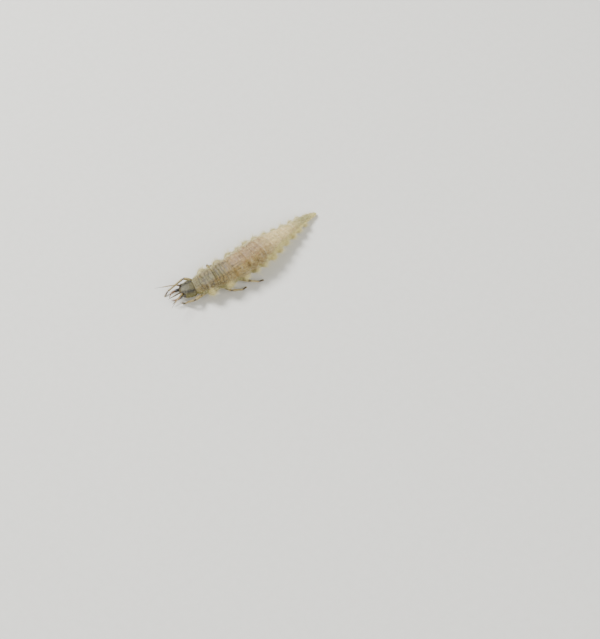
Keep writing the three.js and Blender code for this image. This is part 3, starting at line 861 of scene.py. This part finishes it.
def shaped_piece(name, grids, finish, slot, node_name, darkness=()):
    """Several grids of rings as one piece in place of a solid. Each grid takes a strip of the map, and has
    its own shares of darkness along its length where they are given."""
    points, quads, triangles, maps = [], [], [], []
    count = 0
    for number, grid in enumerate(grids):
        rows, sides = grid.shape[:2]
        fours, threes = tube_faces(rows, sides)
        points.append(with_hubs(grid))
        quads.append(fours + count)
        triangles.append(threes + count)
        turns = (np.linspace(0, 1, sides + 1) + number) / len(grids)
        strip = tube_map(np.linspace(STRIP_FROM, STRIP_TO, rows), turns)
        maps.append(np.split(strip, [fours.size]))
        count += rows * sides + 2
    places = np.concatenate([part[0] for part in maps] + [part[1] for part in maps])
    marks = {}
    if darkness:
        rings = (np.broadcast_to(dark[:, None], grid.shape[:2]) for dark, grid in zip(darkness, grids))
        marks["dark"] = np.concatenate([with_hubs(ring) for ring in rings])
    new_piece(name, np.concatenate(points), np.concatenate(quads), np.concatenate(triangles), finish, slot,
              [node_name], {"OFBake": places}, marks)


def eye_finish():
    """Black horn and clear lenses: nearly black brown, very smooth, with a clear coat."""
    finish, tree, shader, spot = new_finish("eye_black")
    cloud = speckle(tree, spot, 30, 3)
    tone = blend_colours(tree, between(tree, cloud, 0.35, 0.7), colour("0f0b0a"), colour("33231b"))
    cover(tree, shader, tone, between(tree, cloud, 0.3, 0.7, 0.12, 0.3), [(cloud, 0.000003, 0.4)],
          Coat_Weight=0.7, Coat_Roughness=0.05)
    return finish


eye_black = eye_finish()
for word, side in (("left", 1), ("right", -1)):
    left, up = directions(EYE_STATION)
    centre = middle(EYE_STATION) + left * side * EYE_LEFT + up * EYE_RISE
    outward = unit(np.array(EYE_LOOK) * (side, 1, 1))
    level = unit(np.cross(UPRIGHT, outward))
    upright = np.cross(outward, level)
    grids = [dome(centre, outward, EYE_HALF_SIZES, EYE_ROWS, EYE_SIDES)]
    for number in range(RING_LENSES + 1):
        bearing = 2 * np.pi * number / RING_LENSES + RING_START
        reach = LENS_RING if number < RING_LENSES else 0
        aside = reach * (np.cos(bearing) * level + np.sin(bearing) * upright)
        depth = EYE_HALF_SIZES[2] * np.sqrt(1 - (reach / EYE_HALF_SIZES[0]) ** 2)
        seat = centre + aside + outward * (depth - LENS_SUNK)
        facing = outward + aside / EYE_HALF_SIZES[0] * LENS_SPREAD
        grids.append(dome(seat, facing, (LENS_RADIUS, LENS_RADIUS, LENS_HEIGHT), LENS_ROWS, LENS_SIDES))
    shaped_piece(f"shaped_eye_{word}", grids, eye_black, "eye", f"eye_{word}")

# Jaws
# Two curved, hollow sickles of amber horn, each an upper and a lower blade that fit together along a
# groove. They are nearly black at the root and sharp at the tip, with three tiny teeth inside the tip.
JAW_POINTS = [
    (0.1, 0.17, 0.47), (-0.12, 0.25, 0.455), (-0.33, 0.275, 0.44), (-0.52, 0.2, 0.425), (-0.66, 0.07, 0.415),
]
jaw_thickness = profile([(0, 0.1), (0.16, 0.105), (0.4, 0.075), (0.65, 0.05), (0.85, 0.03), (1, 0.006)])
JAW_FLAT = 0.72  # height of the jaw's section as a share of its width
JAW_ROWS, JAW_SIDES = 110, 40
GROOVE_DEPTH, GROOVE_WIDTH = 0.16, 0.2  # share of the thickness, and radians
TEETH_FROM, TEETH_TO, TOOTH_STEP, TOOTH_HEIGHT = 0.78, 0.93, 0.05, 0.01


def path_through(points, rows):
    """Points along a smooth path through a few points: each coordinate is a profile over the distance
    along the straight lines between them. Rows lie closer together near both ends."""
    points = np.array(points, float)
    reach = np.concatenate([[0], np.cumsum(np.linalg.norm(np.diff(points, axis=0), axis=1))])
    share = (1 - np.cos(np.linspace(0, np.pi, rows))) / 2
    at = share * reach[-1]
    return share, np.stack([profile(np.stack([reach, line], axis=1))(at) for line in points.T], axis=-1)


def beside(points, side):
    """Points of a limb on one side, from (station, distance from the middle, height)."""
    return [place(s, side * left, height) for s, left, height in points]


def carried(path, up_hint, half_up, half_across, sides):
    """A grid of rings carried along a path: each ring is an oval square to the path, whose first axis
    is the hint's part square to the path."""
    along = unit(np.gradient(path, axis=0))
    up = unit(up_hint - along * (along @ np.asarray(up_hint, float))[:, None])
    across = np.cross(along, up)
    angle = np.linspace(-np.pi, np.pi, sides + 1)[None, :-1, None]
    half_up = np.broadcast_to(half_up, (len(path), sides))[..., None]
    half_across = np.broadcast_to(half_across, (len(path), sides))[..., None]
    ring = half_up * np.cos(angle) * up[:, None] + half_across * np.sin(angle) * across[:, None]
    return path[:, None] + ring


def rounded_ends(share, near=0.02, far=0.02):
    """Shares from 0 to 1 that round off both ends of a limb, as a quarter circle over a short stretch."""
    start = np.sqrt(1 - (1 - np.clip(share / near, 0.02, 1)) ** 2)
    end = np.sqrt(1 - (1 - np.clip((1 - share) / far, 0.02, 1)) ** 2)
    return start * end


def horn_finish(name, pale, dark, roughness, coat=0.0):
    """Horn that lets some light in and darkens where its mark says, cloudy, fine-grained, softly glossy."""
    finish, tree, shader, spot = new_finish(name)
    cloud = speckle(tree, spot, 18, 4)
    fine = speckle(tree, spot, 80, 3)
    share = node(tree, "Attribute", attribute_name="dark").outputs["Fac"]
    shifted = node(tree, "Math", {0: cloud, 1: 0.3, 2: share}, operation="MULTIPLY_ADD").outputs[0]
    tone = blend_colours(tree, between(tree, cloud, 0.35, 0.7, 0, 0.4), colour(pale), colour(dark))
    tone = blend_colours(tree, between(tree, shifted, 0.35, 0.95), tone, colour(dark))
    cover(tree, shader, tone, between(tree, fine, 0.3, 0.7, roughness, roughness + 0.15),
          [(cloud, 0.000006, 0.4), (fine, 0.000003, 0.5)], Coat_Weight=coat, Coat_Roughness=0.15,
          Subsurface_Weight=0.3, Subsurface_Radius=INNER_LIGHT, Subsurface_Scale=0.00005)
    return finish


jaw_horn = horn_finish("jaw_horn", "7e5832", "1a100a", 0.22, coat=0.35)
for word, side in (("left", 1), ("right", -1)):
    share, path = path_through(beside(JAW_POINTS, side), JAW_ROWS)
    angle = np.linspace(-np.pi, np.pi, JAW_SIDES + 1)[None, :-1]
    groove = 1 - GROOVE_DEPTH * hump(np.abs(angle) - np.pi / 2, GROOVE_WIDTH)
    tooth = np.maximum(np.sin((share - TEETH_FROM) * 2 * np.pi / TOOTH_STEP), 0)
    tooth = TOOTH_HEIGHT * tooth * (share > TEETH_FROM) * (share < TEETH_TO)
    inner = np.maximum(np.sin(angle) * side, 0) ** 3
    thick = (jaw_thickness(share) * rounded_ends(share))[:, None] * groove + tooth[:, None] * inner
    grid = carried(path, UPRIGHT, thick * JAW_FLAT, thick, JAW_SIDES)
    darkness = np.maximum(1 - eased(share, 0.25, 0.55), 0.7 * eased(share, 0.85, 1))
    shaped_piece(f"shaped_jaw_{word}", [grid], jaw_horn, "jaw", f"jaw_{word}", [darkness])

# Feelers and lip palps
# Each feeler has a stout root, a long shaft ringed like a fine hose and a thread-thin end. The lip palps
# hang under the jaws and are ringed in their middle part.
FEELER_POINTS = [
    (0.12, 0.26, 0.6), (0.05, 0.29, 0.72), (-0.25, 0.44, 0.83), (-0.65, 0.6, 0.87), (-1.1, 0.83, 0.87),
]
feeler_thickness = profile([
    (0, 0.05), (0.1, 0.05), (0.17, 0.045), (0.2, 0.03), (0.5, 0.026), (0.7, 0.021), (0.73, 0.012),
    (1, 0.005),
])
PALP_POINTS = [
    (0.15, 0.11, 0.3), (-0.05, 0.12, 0.25), (-0.3, 0.15, 0.22), (-0.5, 0.18, 0.19), (-0.68, 0.21, 0.15),
]
palp_thickness = profile([
    (0, 0.05), (0.2, 0.045), (0.25, 0.03), (0.32, 0.038), (0.6, 0.034), (0.7, 0.024), (0.76, 0.024),
    (1, 0.006),
])
FEELER_RINGS, FEELER_ROWS = 34, 300
PALP_RINGS, PALP_ROWS = 16, 160
LIMB_SIDES, RIPPLE = 20, 0.09
feeler_horn = horn_finish("feeler_horn", "a08a5a", "40301c", 0.32)


def ringed_limb(name, node_name, points, thickness, rings, rows, ringed, darkness):
    """A limb along a path. Its thickness ripples in rings: they rise between the first two shares of its
    length and fade between the last two."""
    share, path = path_through(points, rows)
    ripple = 1 + RIPPLE * np.cos(2 * np.pi * rings * share) * stretch(share, *ringed)
    thick = (thickness(share) * rounded_ends(share) * ripple)[:, None]
    grid = carried(path, UPRIGHT, thick, thick, LIMB_SIDES)
    shaped_piece(name, [grid], feeler_horn, "feeler", node_name, [darkness(share)])


def feeler_darkness(share):
    """Dark root, pale shaft, dark end."""
    return np.maximum(0.8 * (1 - eased(share, 0.1, 0.25)), eased(share, 0.62, 0.85))


def palp_darkness(share):
    """Darker towards the tip."""
    return 0.2 + 0.6 * eased(share, 0.5, 0.9)


for word, side in (("left", 1), ("right", -1)):
    ringed_limb(f"shaped_feeler_{word}", f"antenna_{word}", beside(FEELER_POINTS, side), feeler_thickness,
                FEELER_RINGS, FEELER_ROWS, (0.18, 0.24, 0.66, 0.72), feeler_darkness)
    ringed_limb(f"shaped_palp_{word}", f"palp_{word}", beside(PALP_POINTS, side), palp_thickness,
                PALP_RINGS, PALP_ROWS, (0.26, 0.32, 0.6, 0.68), palp_darkness)

# Head bristles
# Short pale hairs over the top and the cheeks of the head. They lean forwards. Like all the coat they are
# stiff horn, each in a small raised socket, and are made as solid mesh, many to a piece.
TUFT_PATCH = 0.003  # how wide a bristle's patch is on the map, round its root's place
SUNK = 0.006  # how deep a bristle's foot is set
SOCKET_FLARE, SOCKET_LENGTH = 1.6, 0.016
TAPER = 0.7  # power of the share left to the tip: under 1 a bristle stays stout for long
BRISTLE_TIP = "f2e8b6"
PALE_AT_ROOT, PALE_FROM = 0.25, 0.6  # share of the tip's colour at the root, and where it is reached


def bristles(roots, ways, lengths, thickness, curls, rings, sides):
    """Many tapering bristles as one mesh. Each runs from its root along its way, bent by its curl times
    the square of the share of its length; rings narrow from a flared socket to a point. What would go
    under the floor lies flat on it. Gives the points, the faces, each bristle's corners on its own patch
    and how many of them are of four-sided faces, and each point's share along its bristle."""
    share = np.linspace(0, 1, rings + 1)[:-1]
    count = len(roots)
    first = unit(np.cross(ways, UPRIGHT + 0.01))
    second = np.cross(ways, first)
    grown = share[None, :, None] * ways[:, None] + (share**2)[None, :, None] * curls[:, None]
    centres = roots[:, None] - ways[:, None] * SUNK + lengths[:, None, None] * grown
    socket = 1 + SOCKET_FLARE * np.exp(-share[None, :] * lengths[:, None] / SOCKET_LENGTH)
    thick = np.broadcast_to(thickness, count)[:, None] * (1 - share[None, :]) ** TAPER * socket
    angle = 2 * np.pi * np.arange(sides) / sides
    ring = np.cos(angle)[None, :, None] * first[:, None] + np.sin(angle)[None, :, None] * second[:, None]
    body = centres[:, :, None] + thick[:, :, None, None] * ring[:, None]
    tips = roots + lengths[:, None] * (ways + curls)
    points = np.concatenate([body.reshape(count, -1, 3), tips[:, None]], axis=1)
    points[..., 2] = np.maximum(points[..., 2], 0)
    quads, fans = tube_faces(rings, sides)
    tip_faces = fans[sides:] - (0, 0, 1)  # its only hub is the tip, one place before a tube's last hub
    spread = np.arange(1, sides - 1)
    foot_faces = np.stack([np.zeros_like(spread), spread + 1, spread], axis=-1)
    threes = np.concatenate([tip_faces, foot_faces])
    starts = (np.arange(count) * (rings * sides + 1))[:, None, None]
    along = np.append(share.repeat(sides), 1.0)
    around = np.append(np.tile(angle / (2 * np.pi), rings), 0.5)
    flat_places = np.stack([along, around], axis=-1) - 0.5
    corners = np.concatenate([quads.ravel(), threes.ravel()])
    faces = (quads + starts).reshape(-1, 4), (threes + starts).reshape(-1, 3)
    return points.reshape(-1, 3), faces, flat_places[corners], quads.size, along


def bristle_piece(name, slot, places, tones, paler, **growth):
    """A piece of many bristles. On its map each bristle is a small patch round its root's place. Each has
    the tone of the skin under its root and passes into the pale tip's colour by the share paler."""
    points, faces, patch, split, along = bristles(**growth)
    inside = np.clip(places, TUFT_PATCH / 2, 1 - TUFT_PATCH / 2)
    spots = inside[:, None] + patch[None] * TUFT_PATCH
    unwrap = np.concatenate([spots[:, :split].reshape(-1, 2), spots[:, split:].reshape(-1, 2)])
    fade = paler * (PALE_AT_ROOT + (1 - PALE_AT_ROOT) * eased(along, 0, PALE_FROM))[None, :, None]
    blended = tones[:, None] + (np.array(colour(BRISTLE_TIP)[:3]) - tones[:, None]) * fade
    new_piece(name, points, *faces, bristle_pale, slot, maps={"OFBake": unwrap},
              marks={"tone": blended.reshape(-1, 3)})


def bristle_finish():
    """Stiff pale bristles in their tones, with a fine grain and a faint gloss."""
    finish, tree, shader, spot = new_finish("bristle")
    tone = node(tree, "Attribute", attribute_name="tone").outputs["Color"]
    fine = speckle(tree, spot, 60, 2)
    tone = shaded(tree, tone, fine, 0.4, 0.7, 0.3, "a89a80")
    cover(tree, shader, tone, between(tree, fine, 0.3, 0.7, 0.35, 0.55), [(fine, 0.000002, 0.3)])
    return finish


bristle_pale = bristle_finish()
chance = np.random.default_rng(11)
HEAD_BRISTLES, HEAD_BRISTLE_LENGTH, HEAD_BRISTLE_RADIUS = 90, 0.07, 0.0032
HEAD_COAT_FROM, HEAD_COAT_TO, HEAD_COAT_TURN = 0.08, 0.74, 115  # stations, and degrees from the top
s = chance.uniform(HEAD_COAT_FROM, HEAD_COAT_TO, HEAD_BRISTLES)
angle = np.radians(chance.uniform(-HEAD_COAT_TURN, HEAD_COAT_TURN, HEAD_BRISTLES))
roots = head_shape(s, angle)
jitter = chance.normal(0, 0.2, (HEAD_BRISTLES, 3))
bristle_piece(
    "bristles_head", "head_plate", tones=head_tones(s, angle), paler=0.8,
    places=np.stack([(s - HEAD_MAP_START) / HEAD_MAP_LENGTH, turn_share(angle)], axis=-1),
    roots=roots, ways=unit(unit(roots - middle(s)) - 0.5 * TAILWARDS + jitter),
    lengths=HEAD_BRISTLE_LENGTH * chance.uniform(0.5, 1.4, HEAD_BRISTLES),
    thickness=HEAD_BRISTLE_RADIUS, curls=-0.2 * TAILWARDS + 0.5 * jitter, rings=4, sides=3,
)

# Legs
# Each leg has a short hip piece, a small ring, a stout thigh, a slimmer shin, and a dark foot with two
# claws and a trumpet-shaped pad that sticks to the floor. The horn is pale, and brown at the joints.
LEGS = {
    "front_left": ((1.4, 0.34), (0.54, 0.82), (0.08, 0.56), (-0.14, 0.42)),
    "front_right": ((1.35, -0.34), (0.4, -0.76), (-0.38, -0.66), (-0.6, -0.58)),
    "middle_left": ((2.25, 0.45), (2.4, 1.1), (2.96, 1.12), (3.18, 1.04)),
    "middle_right": ((2.2, -0.45), (1.95, -1.05), (2.2, -1.2), (2.36, -1.28)),
    "hind_left": ((3.15, 0.45), (3.4, 1.12), (3.92, 1.22), (4.14, 1.22)),
    "hind_right": ((3.15, -0.45), (3.4, -1.12), (3.95, -1.24), (4.18, -1.28)),
}  # hip, knee, ankle and toe as (station, distance to the left)
HIP_HEIGHT, RING_HEIGHT, KNEE_HEIGHT, ANKLE_HEIGHT, TOE_HEIGHT = 0.38, 0.33, 0.56, 0.15, 0.06
RING_SHARE, RING_LENGTH = 0.38, 0.2  # where the hip piece ends on the way to the knee, and the ring's share
hip_thickness = profile([(0, 0.1), (0.3, 0.125), (0.75, 0.1), (1, 0.075)])
ring_thickness = profile([(0, 0.06), (0.5, 0.08), (1, 0.065)])
thigh_thickness = profile([(0, 0.05), (0.2, 0.078), (0.5, 0.086), (0.8, 0.072), (0.93, 0.066), (1, 0.05)])
shin_thickness = profile([(0, 0.04), (0.1, 0.058), (0.4, 0.056), (0.8, 0.046), (0.94, 0.046), (1, 0.034)])
foot_thickness = profile([(0, 0.03), (0.15, 0.04), (0.6, 0.036), (0.9, 0.032), (1, 0.02)])
claw_thickness = profile([(0, 0.013), (0.5, 0.01), (1, 0.002)])
pad_thickness = profile([(0, 0.014), (0.45, 0.014), (0.75, 0.026), (1, 0.045)])
# Points of a claw and of the pad from the toe: (ahead, aside, up). The pad's last one stands on the floor.
CLAW_PATH = [(0, 0.01, 0), (0.035, 0.028, 0.004), (0.065, 0.034, -0.016), (0.07, 0.03, -0.045)]
PAD_PATH = [(0, 0, 0), (0.03, 0, -0.012), (0.05, 0, -0.035), (0.054, 0, 0.001 - TOE_HEIGHT)]
LEG_SIDES, LEG_ROWS, CLAW_SIDES, CLAW_ROWS, PAD_SIDES, PAD_ROWS = 32, 44, 10, 16, 20, 22
LEG_BRISTLES = (10, 4, 34, 38, 16)  # on the hip piece, ring, thigh, shin and foot
LEG_BRISTLE_LENGTH, LEG_BRISTLE_RADIUS = 0.085, 0.0032
LEG_BRISTLE_TONE = "8f7d54"
leg_horn = horn_finish("leg_horn", "a89868", "4a3420", 0.4)


def part_of_leg(start, end, thickness, bow_up, near, far):
    """One part of a leg from its start to its end: a straight line with a slight bow, and rounded ends."""
    share = (1 - np.cos(np.linspace(0, np.pi, LEG_ROWS))) / 2
    path = start + (end - start) * share[:, None] + UPRIGHT * (bow_up * 4 * share * (1 - share))[:, None]
    thick = thickness(share) * rounded_ends(share, near, far)
    return share, carried(path, (0.05, 0.02, 1), thick[:, None], thick[:, None], LEG_SIDES)


def at_joints(share, near, far):
    """Dark at the two ends of a part of a leg, by the given amounts."""
    return np.maximum(near * (1 - eased(share, 0.02, 0.16)), far * eased(share, 0.84, 0.98))


def leg_parts(hip, knee, ankle, toe):
    """The grids of one leg and how dark each is along its length: five parts, two claws and the pad."""
    hip, knee, ankle, toe = (
        place(s, left, height) for (s, left), height in
        zip((hip, knee, ankle, toe), (HIP_HEIGHT, KNEE_HEIGHT, ANKLE_HEIGHT, TOE_HEIGHT))
    )
    ring = hip + (knee - hip) * RING_SHARE
    ring[2] = RING_HEIGHT
    ring_end = ring + (knee - ring) * RING_LENGTH
    parts = (
        (hip, ring, hip_thickness, 0, 0.06, 0.1, 0.1, 0.45),
        (ring, ring_end, ring_thickness, 0, 0.2, 0.2, 0.35, 0.3),
        (ring_end, knee, thigh_thickness, 0.03, 0.06, 0.05, 0.35, 0.8),
        (knee, ankle, shin_thickness, 0.015, 0.06, 0.05, 0.75, 0.75),
        (ankle, toe, foot_thickness, 0, 0.1, 0.1, 1, 1),
    )  # start, end, thickness, bow, roundness of both ends, darkness of both ends
    grids, darkness = [], []
    for start, end, thickness, bow_up, near, far, near_dark, far_dark in parts:
        share, grid = part_of_leg(start, end, thickness, bow_up, near, far)
        grids.append(grid)
        darkness.append(at_joints(share, near_dark, far_dark))
    darkness[-1] = np.full(LEG_ROWS, 0.95)
    ahead = unit((toe - ankle) * (1, 1, 0))
    aside = np.cross(UPRIGHT, ahead)

    def from_toe(path, side):
        return [toe + ahead * front + aside * side * out + UPRIGHT * up for front, out, up in path]

    for side in (1, -1):
        share, path = path_through(from_toe(CLAW_PATH, side), CLAW_ROWS)
        thick = (claw_thickness(share) * rounded_ends(share, 0.1, 0.05))[:, None]
        grids.append(carried(path, ahead, thick, thick, CLAW_SIDES))
        darkness.append(np.ones(CLAW_ROWS))
    share, path = path_through(from_toe(PAD_PATH, 1), PAD_ROWS)
    thick = (pad_thickness(share) * rounded_ends(share, 0.1, 0.03))[:, None]
    pad = carried(path, ahead, thick, thick, PAD_SIDES)
    pad[..., 2] = np.maximum(pad[..., 2], 0)
    grids.append(pad)
    darkness.append(0.5 * (1 - eased(share, 0.2, 0.6)))
    return grids, darkness


def leg_bristles(name, grids):
    """Bristles on the five parts of a leg: each stands on a point of the part's grid, out from the
    middle of its ring and towards the foot."""
    roots, outs, alongs, places = [], [], [], []
    for number, count in enumerate(LEG_BRISTLES):
        grid = grids[number]
        r = chance.integers(6, LEG_ROWS - 6, count)
        k = chance.integers(0, LEG_SIDES, count)
        centres = grid.mean(axis=1)
        roots.append(grid[r, k])
        outs.append(unit(grid[r, k] - centres[r]))
        alongs.append(unit(centres[r + 1] - centres[r - 1]))
        at = STRIP_FROM + (STRIP_TO - STRIP_FROM) * r / (LEG_ROWS - 1)
        places.append(np.stack([at, (k / LEG_SIDES + number) / len(grids)], axis=-1))
    roots, outs, alongs = np.concatenate(roots), np.concatenate(outs), np.concatenate(alongs)
    count = len(roots)
    jitter = chance.normal(0, 0.14, (count, 3))
    bristle_piece(
        f"bristles_leg_{name}", "leg", places=np.concatenate(places), paler=0.5,
        tones=np.tile(colour(LEG_BRISTLE_TONE)[:3], (count, 1)),
        roots=roots, ways=unit(0.65 * outs + 0.75 * alongs + jitter),
        lengths=LEG_BRISTLE_LENGTH * chance.uniform(0.5, 1.3, count),
        thickness=LEG_BRISTLE_RADIUS, curls=0.15 * alongs + 0.3 * jitter, rings=4, sides=3,
    )


for name, joints in LEGS.items():
    grids, darkness = leg_parts(*joints)
    shaped_piece(f"shaped_leg_{name}", grids, leg_horn, "leg", f"leg_{name}", darkness)
    leg_bristles(name, grids)

# Body bristles
# Long ones fan out from the side tubercles among short dense tufts, a fringe runs along the sides,
# thin ones stand in rows across the back and on the warts, and a short pile lies all over.
GOLDEN_TURN = np.pi * (3 - np.sqrt(5))  # from one root of a spiral of seeds to the next
COAT_END = BODY_LENGTH - 0.1  # station
TUFT_OUT = 0.25  # the distance out at which the tubercles' tilt sets the height of a tuft's middle
FEWEST = 0.35  # the share of the count that would stand on a tubercle of no size


def skin_normals(s, angle):
    """The way out of the skin: square to two short steps over it, one along and one round the body."""
    step_s, step_turn = 0.01, 0.02
    along = skin_shape(s + step_s, angle)[0] - skin_shape(s - step_s, angle)[0]
    around = skin_shape(s, angle + step_turn)[0] - skin_shape(s, angle - step_turn)[0]
    return unit(np.cross(around, along))


def skin_roots(s, angle, jitter):
    """For bristles on the skin: the ways out of it, a random way for each by the amount of jitter, how
    much of each root is tubercle, and the piece's slot, roots, places on the skin's map and tones."""
    roots, tubercle = skin_shape(s, angle)
    places = np.stack([s / MAP_LENGTH, turn_share(angle)], axis=-1)
    rooted = {"slot": "skin", "roots": roots, "places": places, "tones": skin_tones(s, angle, tubercle)}
    return skin_normals(s, angle), chance.normal(0, jitter, (len(s), 3)), tubercle, rooted


def height_angle(s, height, side):
    """The angle at which the rounded oval lies at a height over the middle line."""
    share = np.clip(height / trunk_height(s), -0.95, 0.95)
    power = np.where(share > 0, ROUND_ABOVE, ROUND_BELOW) / 2
    return side * np.arccos(np.sign(share) * np.abs(share) ** power)


def tubercle_roots(count_of, spread):
    """Stations and angles of roots over all side tubercles, in a spiral of seeds over a disc round each
    one's axis, with its axis, its size beside the largest and each root's bearing round it."""
    found = [[], [], [], [], []]
    for station in TUBERCLE_STATIONS:
        size = tubercle_reach(station) / tubercle_reach(TUBERCLE_STATIONS[0])
        count = int(count_of * (FEWEST + (1 - FEWEST) * size))
        number = np.arange(count)
        for side in (1, -1):
            radius = np.sqrt((number + 0.5) / count) * spread * tubercle_width(station)
            bearing = number * GOLDEN_TURN + chance.uniform(0, 2 * np.pi)
            level = TUBERCLE_TILT * TUFT_OUT - trunk_height(station) * TUBERCLE_DROP
            s = station + radius * np.cos(bearing) + chance.normal(0, 0.008, count)
            axis = np.broadcast_to(directions(station)[0] * side, (count, 3))
            angle = height_angle(s, level + radius * np.sin(bearing), side)
            for held, values in zip(found, (s, angle, axis, np.full(count, size), bearing)):
                held.append(values)
    return [np.concatenate(values) for values in found]


LONG_COUNT, LONG_LENGTH, LONG_RADIUS = 24, 0.4, 0.0075  # on the largest tubercles
s, angle, axis, size, _ = tubercle_roots(LONG_COUNT, 0.8)
out_ways, jitter, _, rooted = skin_roots(s, angle, 0.2)
lift = UPRIGHT * chance.uniform(-0.1, 0.2, len(s))[:, None]
bristle_piece(
    "bristles_side", paler=1.0,
    ways=unit(0.6 * out_ways + 0.5 * axis + 0.15 * TAILWARDS + 0.12 * UPRIGHT + jitter),
    lengths=LONG_LENGTH * (0.45 + 0.55 * size) * chance.uniform(0.45, 1.1, len(s)),
    thickness=LONG_RADIUS * (0.7 + 0.3 * size), curls=0.2 * TAILWARDS + lift + 0.4 * jitter,
    rings=8, sides=4, **rooted,
)

TUFT_COUNT, TUFT_LENGTH, TUFT_RADIUS, CLUMPS = 150, 0.15, 0.0048, 6
s, angle, axis, size, bearing = tubercle_roots(TUFT_COUNT, 1.15)
out_ways, jitter, _, rooted = skin_roots(s, angle, 0.2)
clump_bearing = np.round(bearing / (2 * np.pi) * CLUMPS) * 2 * np.pi / CLUMPS
lean = TAILWARDS * np.cos(clump_bearing)[:, None] + UPRIGHT * np.sin(clump_bearing)[:, None]
bristle_piece(
    "bristles_tufts", paler=0.9,
    ways=unit(0.7 * out_ways + 0.3 * axis + 0.35 * lean + 0.2 * TAILWARDS + jitter),
    lengths=TUFT_LENGTH * (0.5 + 0.5 * size) * chance.uniform(0.5, 1.35, len(s)),
    thickness=TUFT_RADIUS, curls=0.2 * TAILWARDS + 0.4 * jitter, rings=4, sides=3, **rooted,
)

FRINGE_COUNT, FRINGE_LENGTH, FRINGE_RADIUS = 3200, 0.17, 0.0038
FRINGE_ANGLE, FRINGE_SPREAD = 74, 17  # degrees
s = chance.uniform(0.84, COAT_END, FRINGE_COUNT)
side = chance.choice([-1, 1], FRINGE_COUNT)
angle = side * np.radians(chance.normal(FRINGE_ANGLE, FRINGE_SPREAD, FRINGE_COUNT))
out_ways, jitter, _, rooted = skin_roots(s, angle, 0.22)
bristle_piece(
    "bristles_fringe", paler=0.85, ways=unit(out_ways + 0.45 * TAILWARDS + jitter),
    lengths=FRINGE_LENGTH * (0.5 + 0.6 * trunk_width(s)) * chance.uniform(0.4, 1.2, FRINGE_COUNT),
    thickness=FRINGE_RADIUS, curls=0.25 * TAILWARDS + 0.4 * jitter, rings=4, sides=3, **rooted,
)

THORAX_ROWS, ABDOMEN_ROWS = (0.2, 0.5, 0.8), (0.28, 0.74)  # shares of a segment where rows stand
ROW_LEAST, ROW_MORE = 8, 10  # bristles in a row, and how many more for each mm of the trunk's half width
ROW_TURN = np.radians(62)  # how far down the sides a row goes
WART_BRISTLES, WART_SPREAD = 6, 0.05
BACK_LENGTH, BACK_RADIUS = 0.1, 0.003
stations, angle_list = [], []
for segment in range(1, SEGMENTS - 1):
    start, end = SEGMENT_ENDS[segment:segment + 2]
    for share in THORAX_ROWS if segment < FIRST_ABDOMEN else ABDOMEN_ROWS:
        count = int(round(ROW_LEAST + ROW_MORE * trunk_width((start + end) / 2)))
        stations.append(start + (end - start) * share + chance.normal(0, 0.03, count))
        angle_list.append(np.linspace(-1, 1, count) * ROW_TURN + chance.normal(0, 0.05, count))
for station in TUBERCLE_STATIONS:
    for side in (1, -1):
        stations.append(station + chance.normal(0, WART_SPREAD, WART_BRISTLES))
        angle_list.append(side * (WART_ANGLE + chance.normal(0, WART_SPREAD, WART_BRISTLES)))
s, angle = np.concatenate(stations), np.concatenate(angle_list)
out_ways, jitter, _, rooted = skin_roots(s, angle, 0.14)
bristle_piece(
    "bristles_back", paler=0.45, ways=unit(out_ways + 0.75 * TAILWARDS + jitter),
    lengths=BACK_LENGTH * (0.6 + 0.5 * trunk_width(s)) * chance.uniform(0.6, 1.3, len(s)),
    thickness=BACK_RADIUS, curls=0.25 * TAILWARDS - 0.12 * out_ways + 0.4 * jitter,
    rings=5, sides=4, **rooted,
)

PILE_COUNT, PILE_LENGTH, PILE_RADIUS = 12000, 0.06, 0.0024
PILE_FULL_WIDTH = 0.4  # half width of the trunk from which on the pile has its full length
PILE_EVERY_WIDTH = 0.93  # half width at which every root is kept
s = chance.uniform(0.85, COAT_END, PILE_COUNT * 3)
# Fewer roots are kept where the trunk is narrow, so that the pile is as dense there.
s = s[chance.uniform(0, 1, len(s)) < trunk_width(s) / PILE_EVERY_WIDTH][:PILE_COUNT]
angle = chance.uniform(-np.pi, np.pi, PILE_COUNT)
out_ways, jitter, tubercle, rooted = skin_roots(s, angle, 0.24)
length = PILE_LENGTH * (1 + 0.5 * tubercle) * chance.uniform(0.6, 1.2, PILE_COUNT)
bristle_piece(
    "bristles_pile", paler=0.4,
    ways=unit(0.5 * out_ways + TAILWARDS * (1 - 0.5 * tubercle)[:, None] + jitter),
    lengths=length * np.minimum(trunk_width(s) / PILE_FULL_WIDTH, 1) ** 0.5,
    thickness=PILE_RADIUS, curls=-0.25 * out_ways + 0.2 * jitter, rings=3, sides=3, **rooted,
)
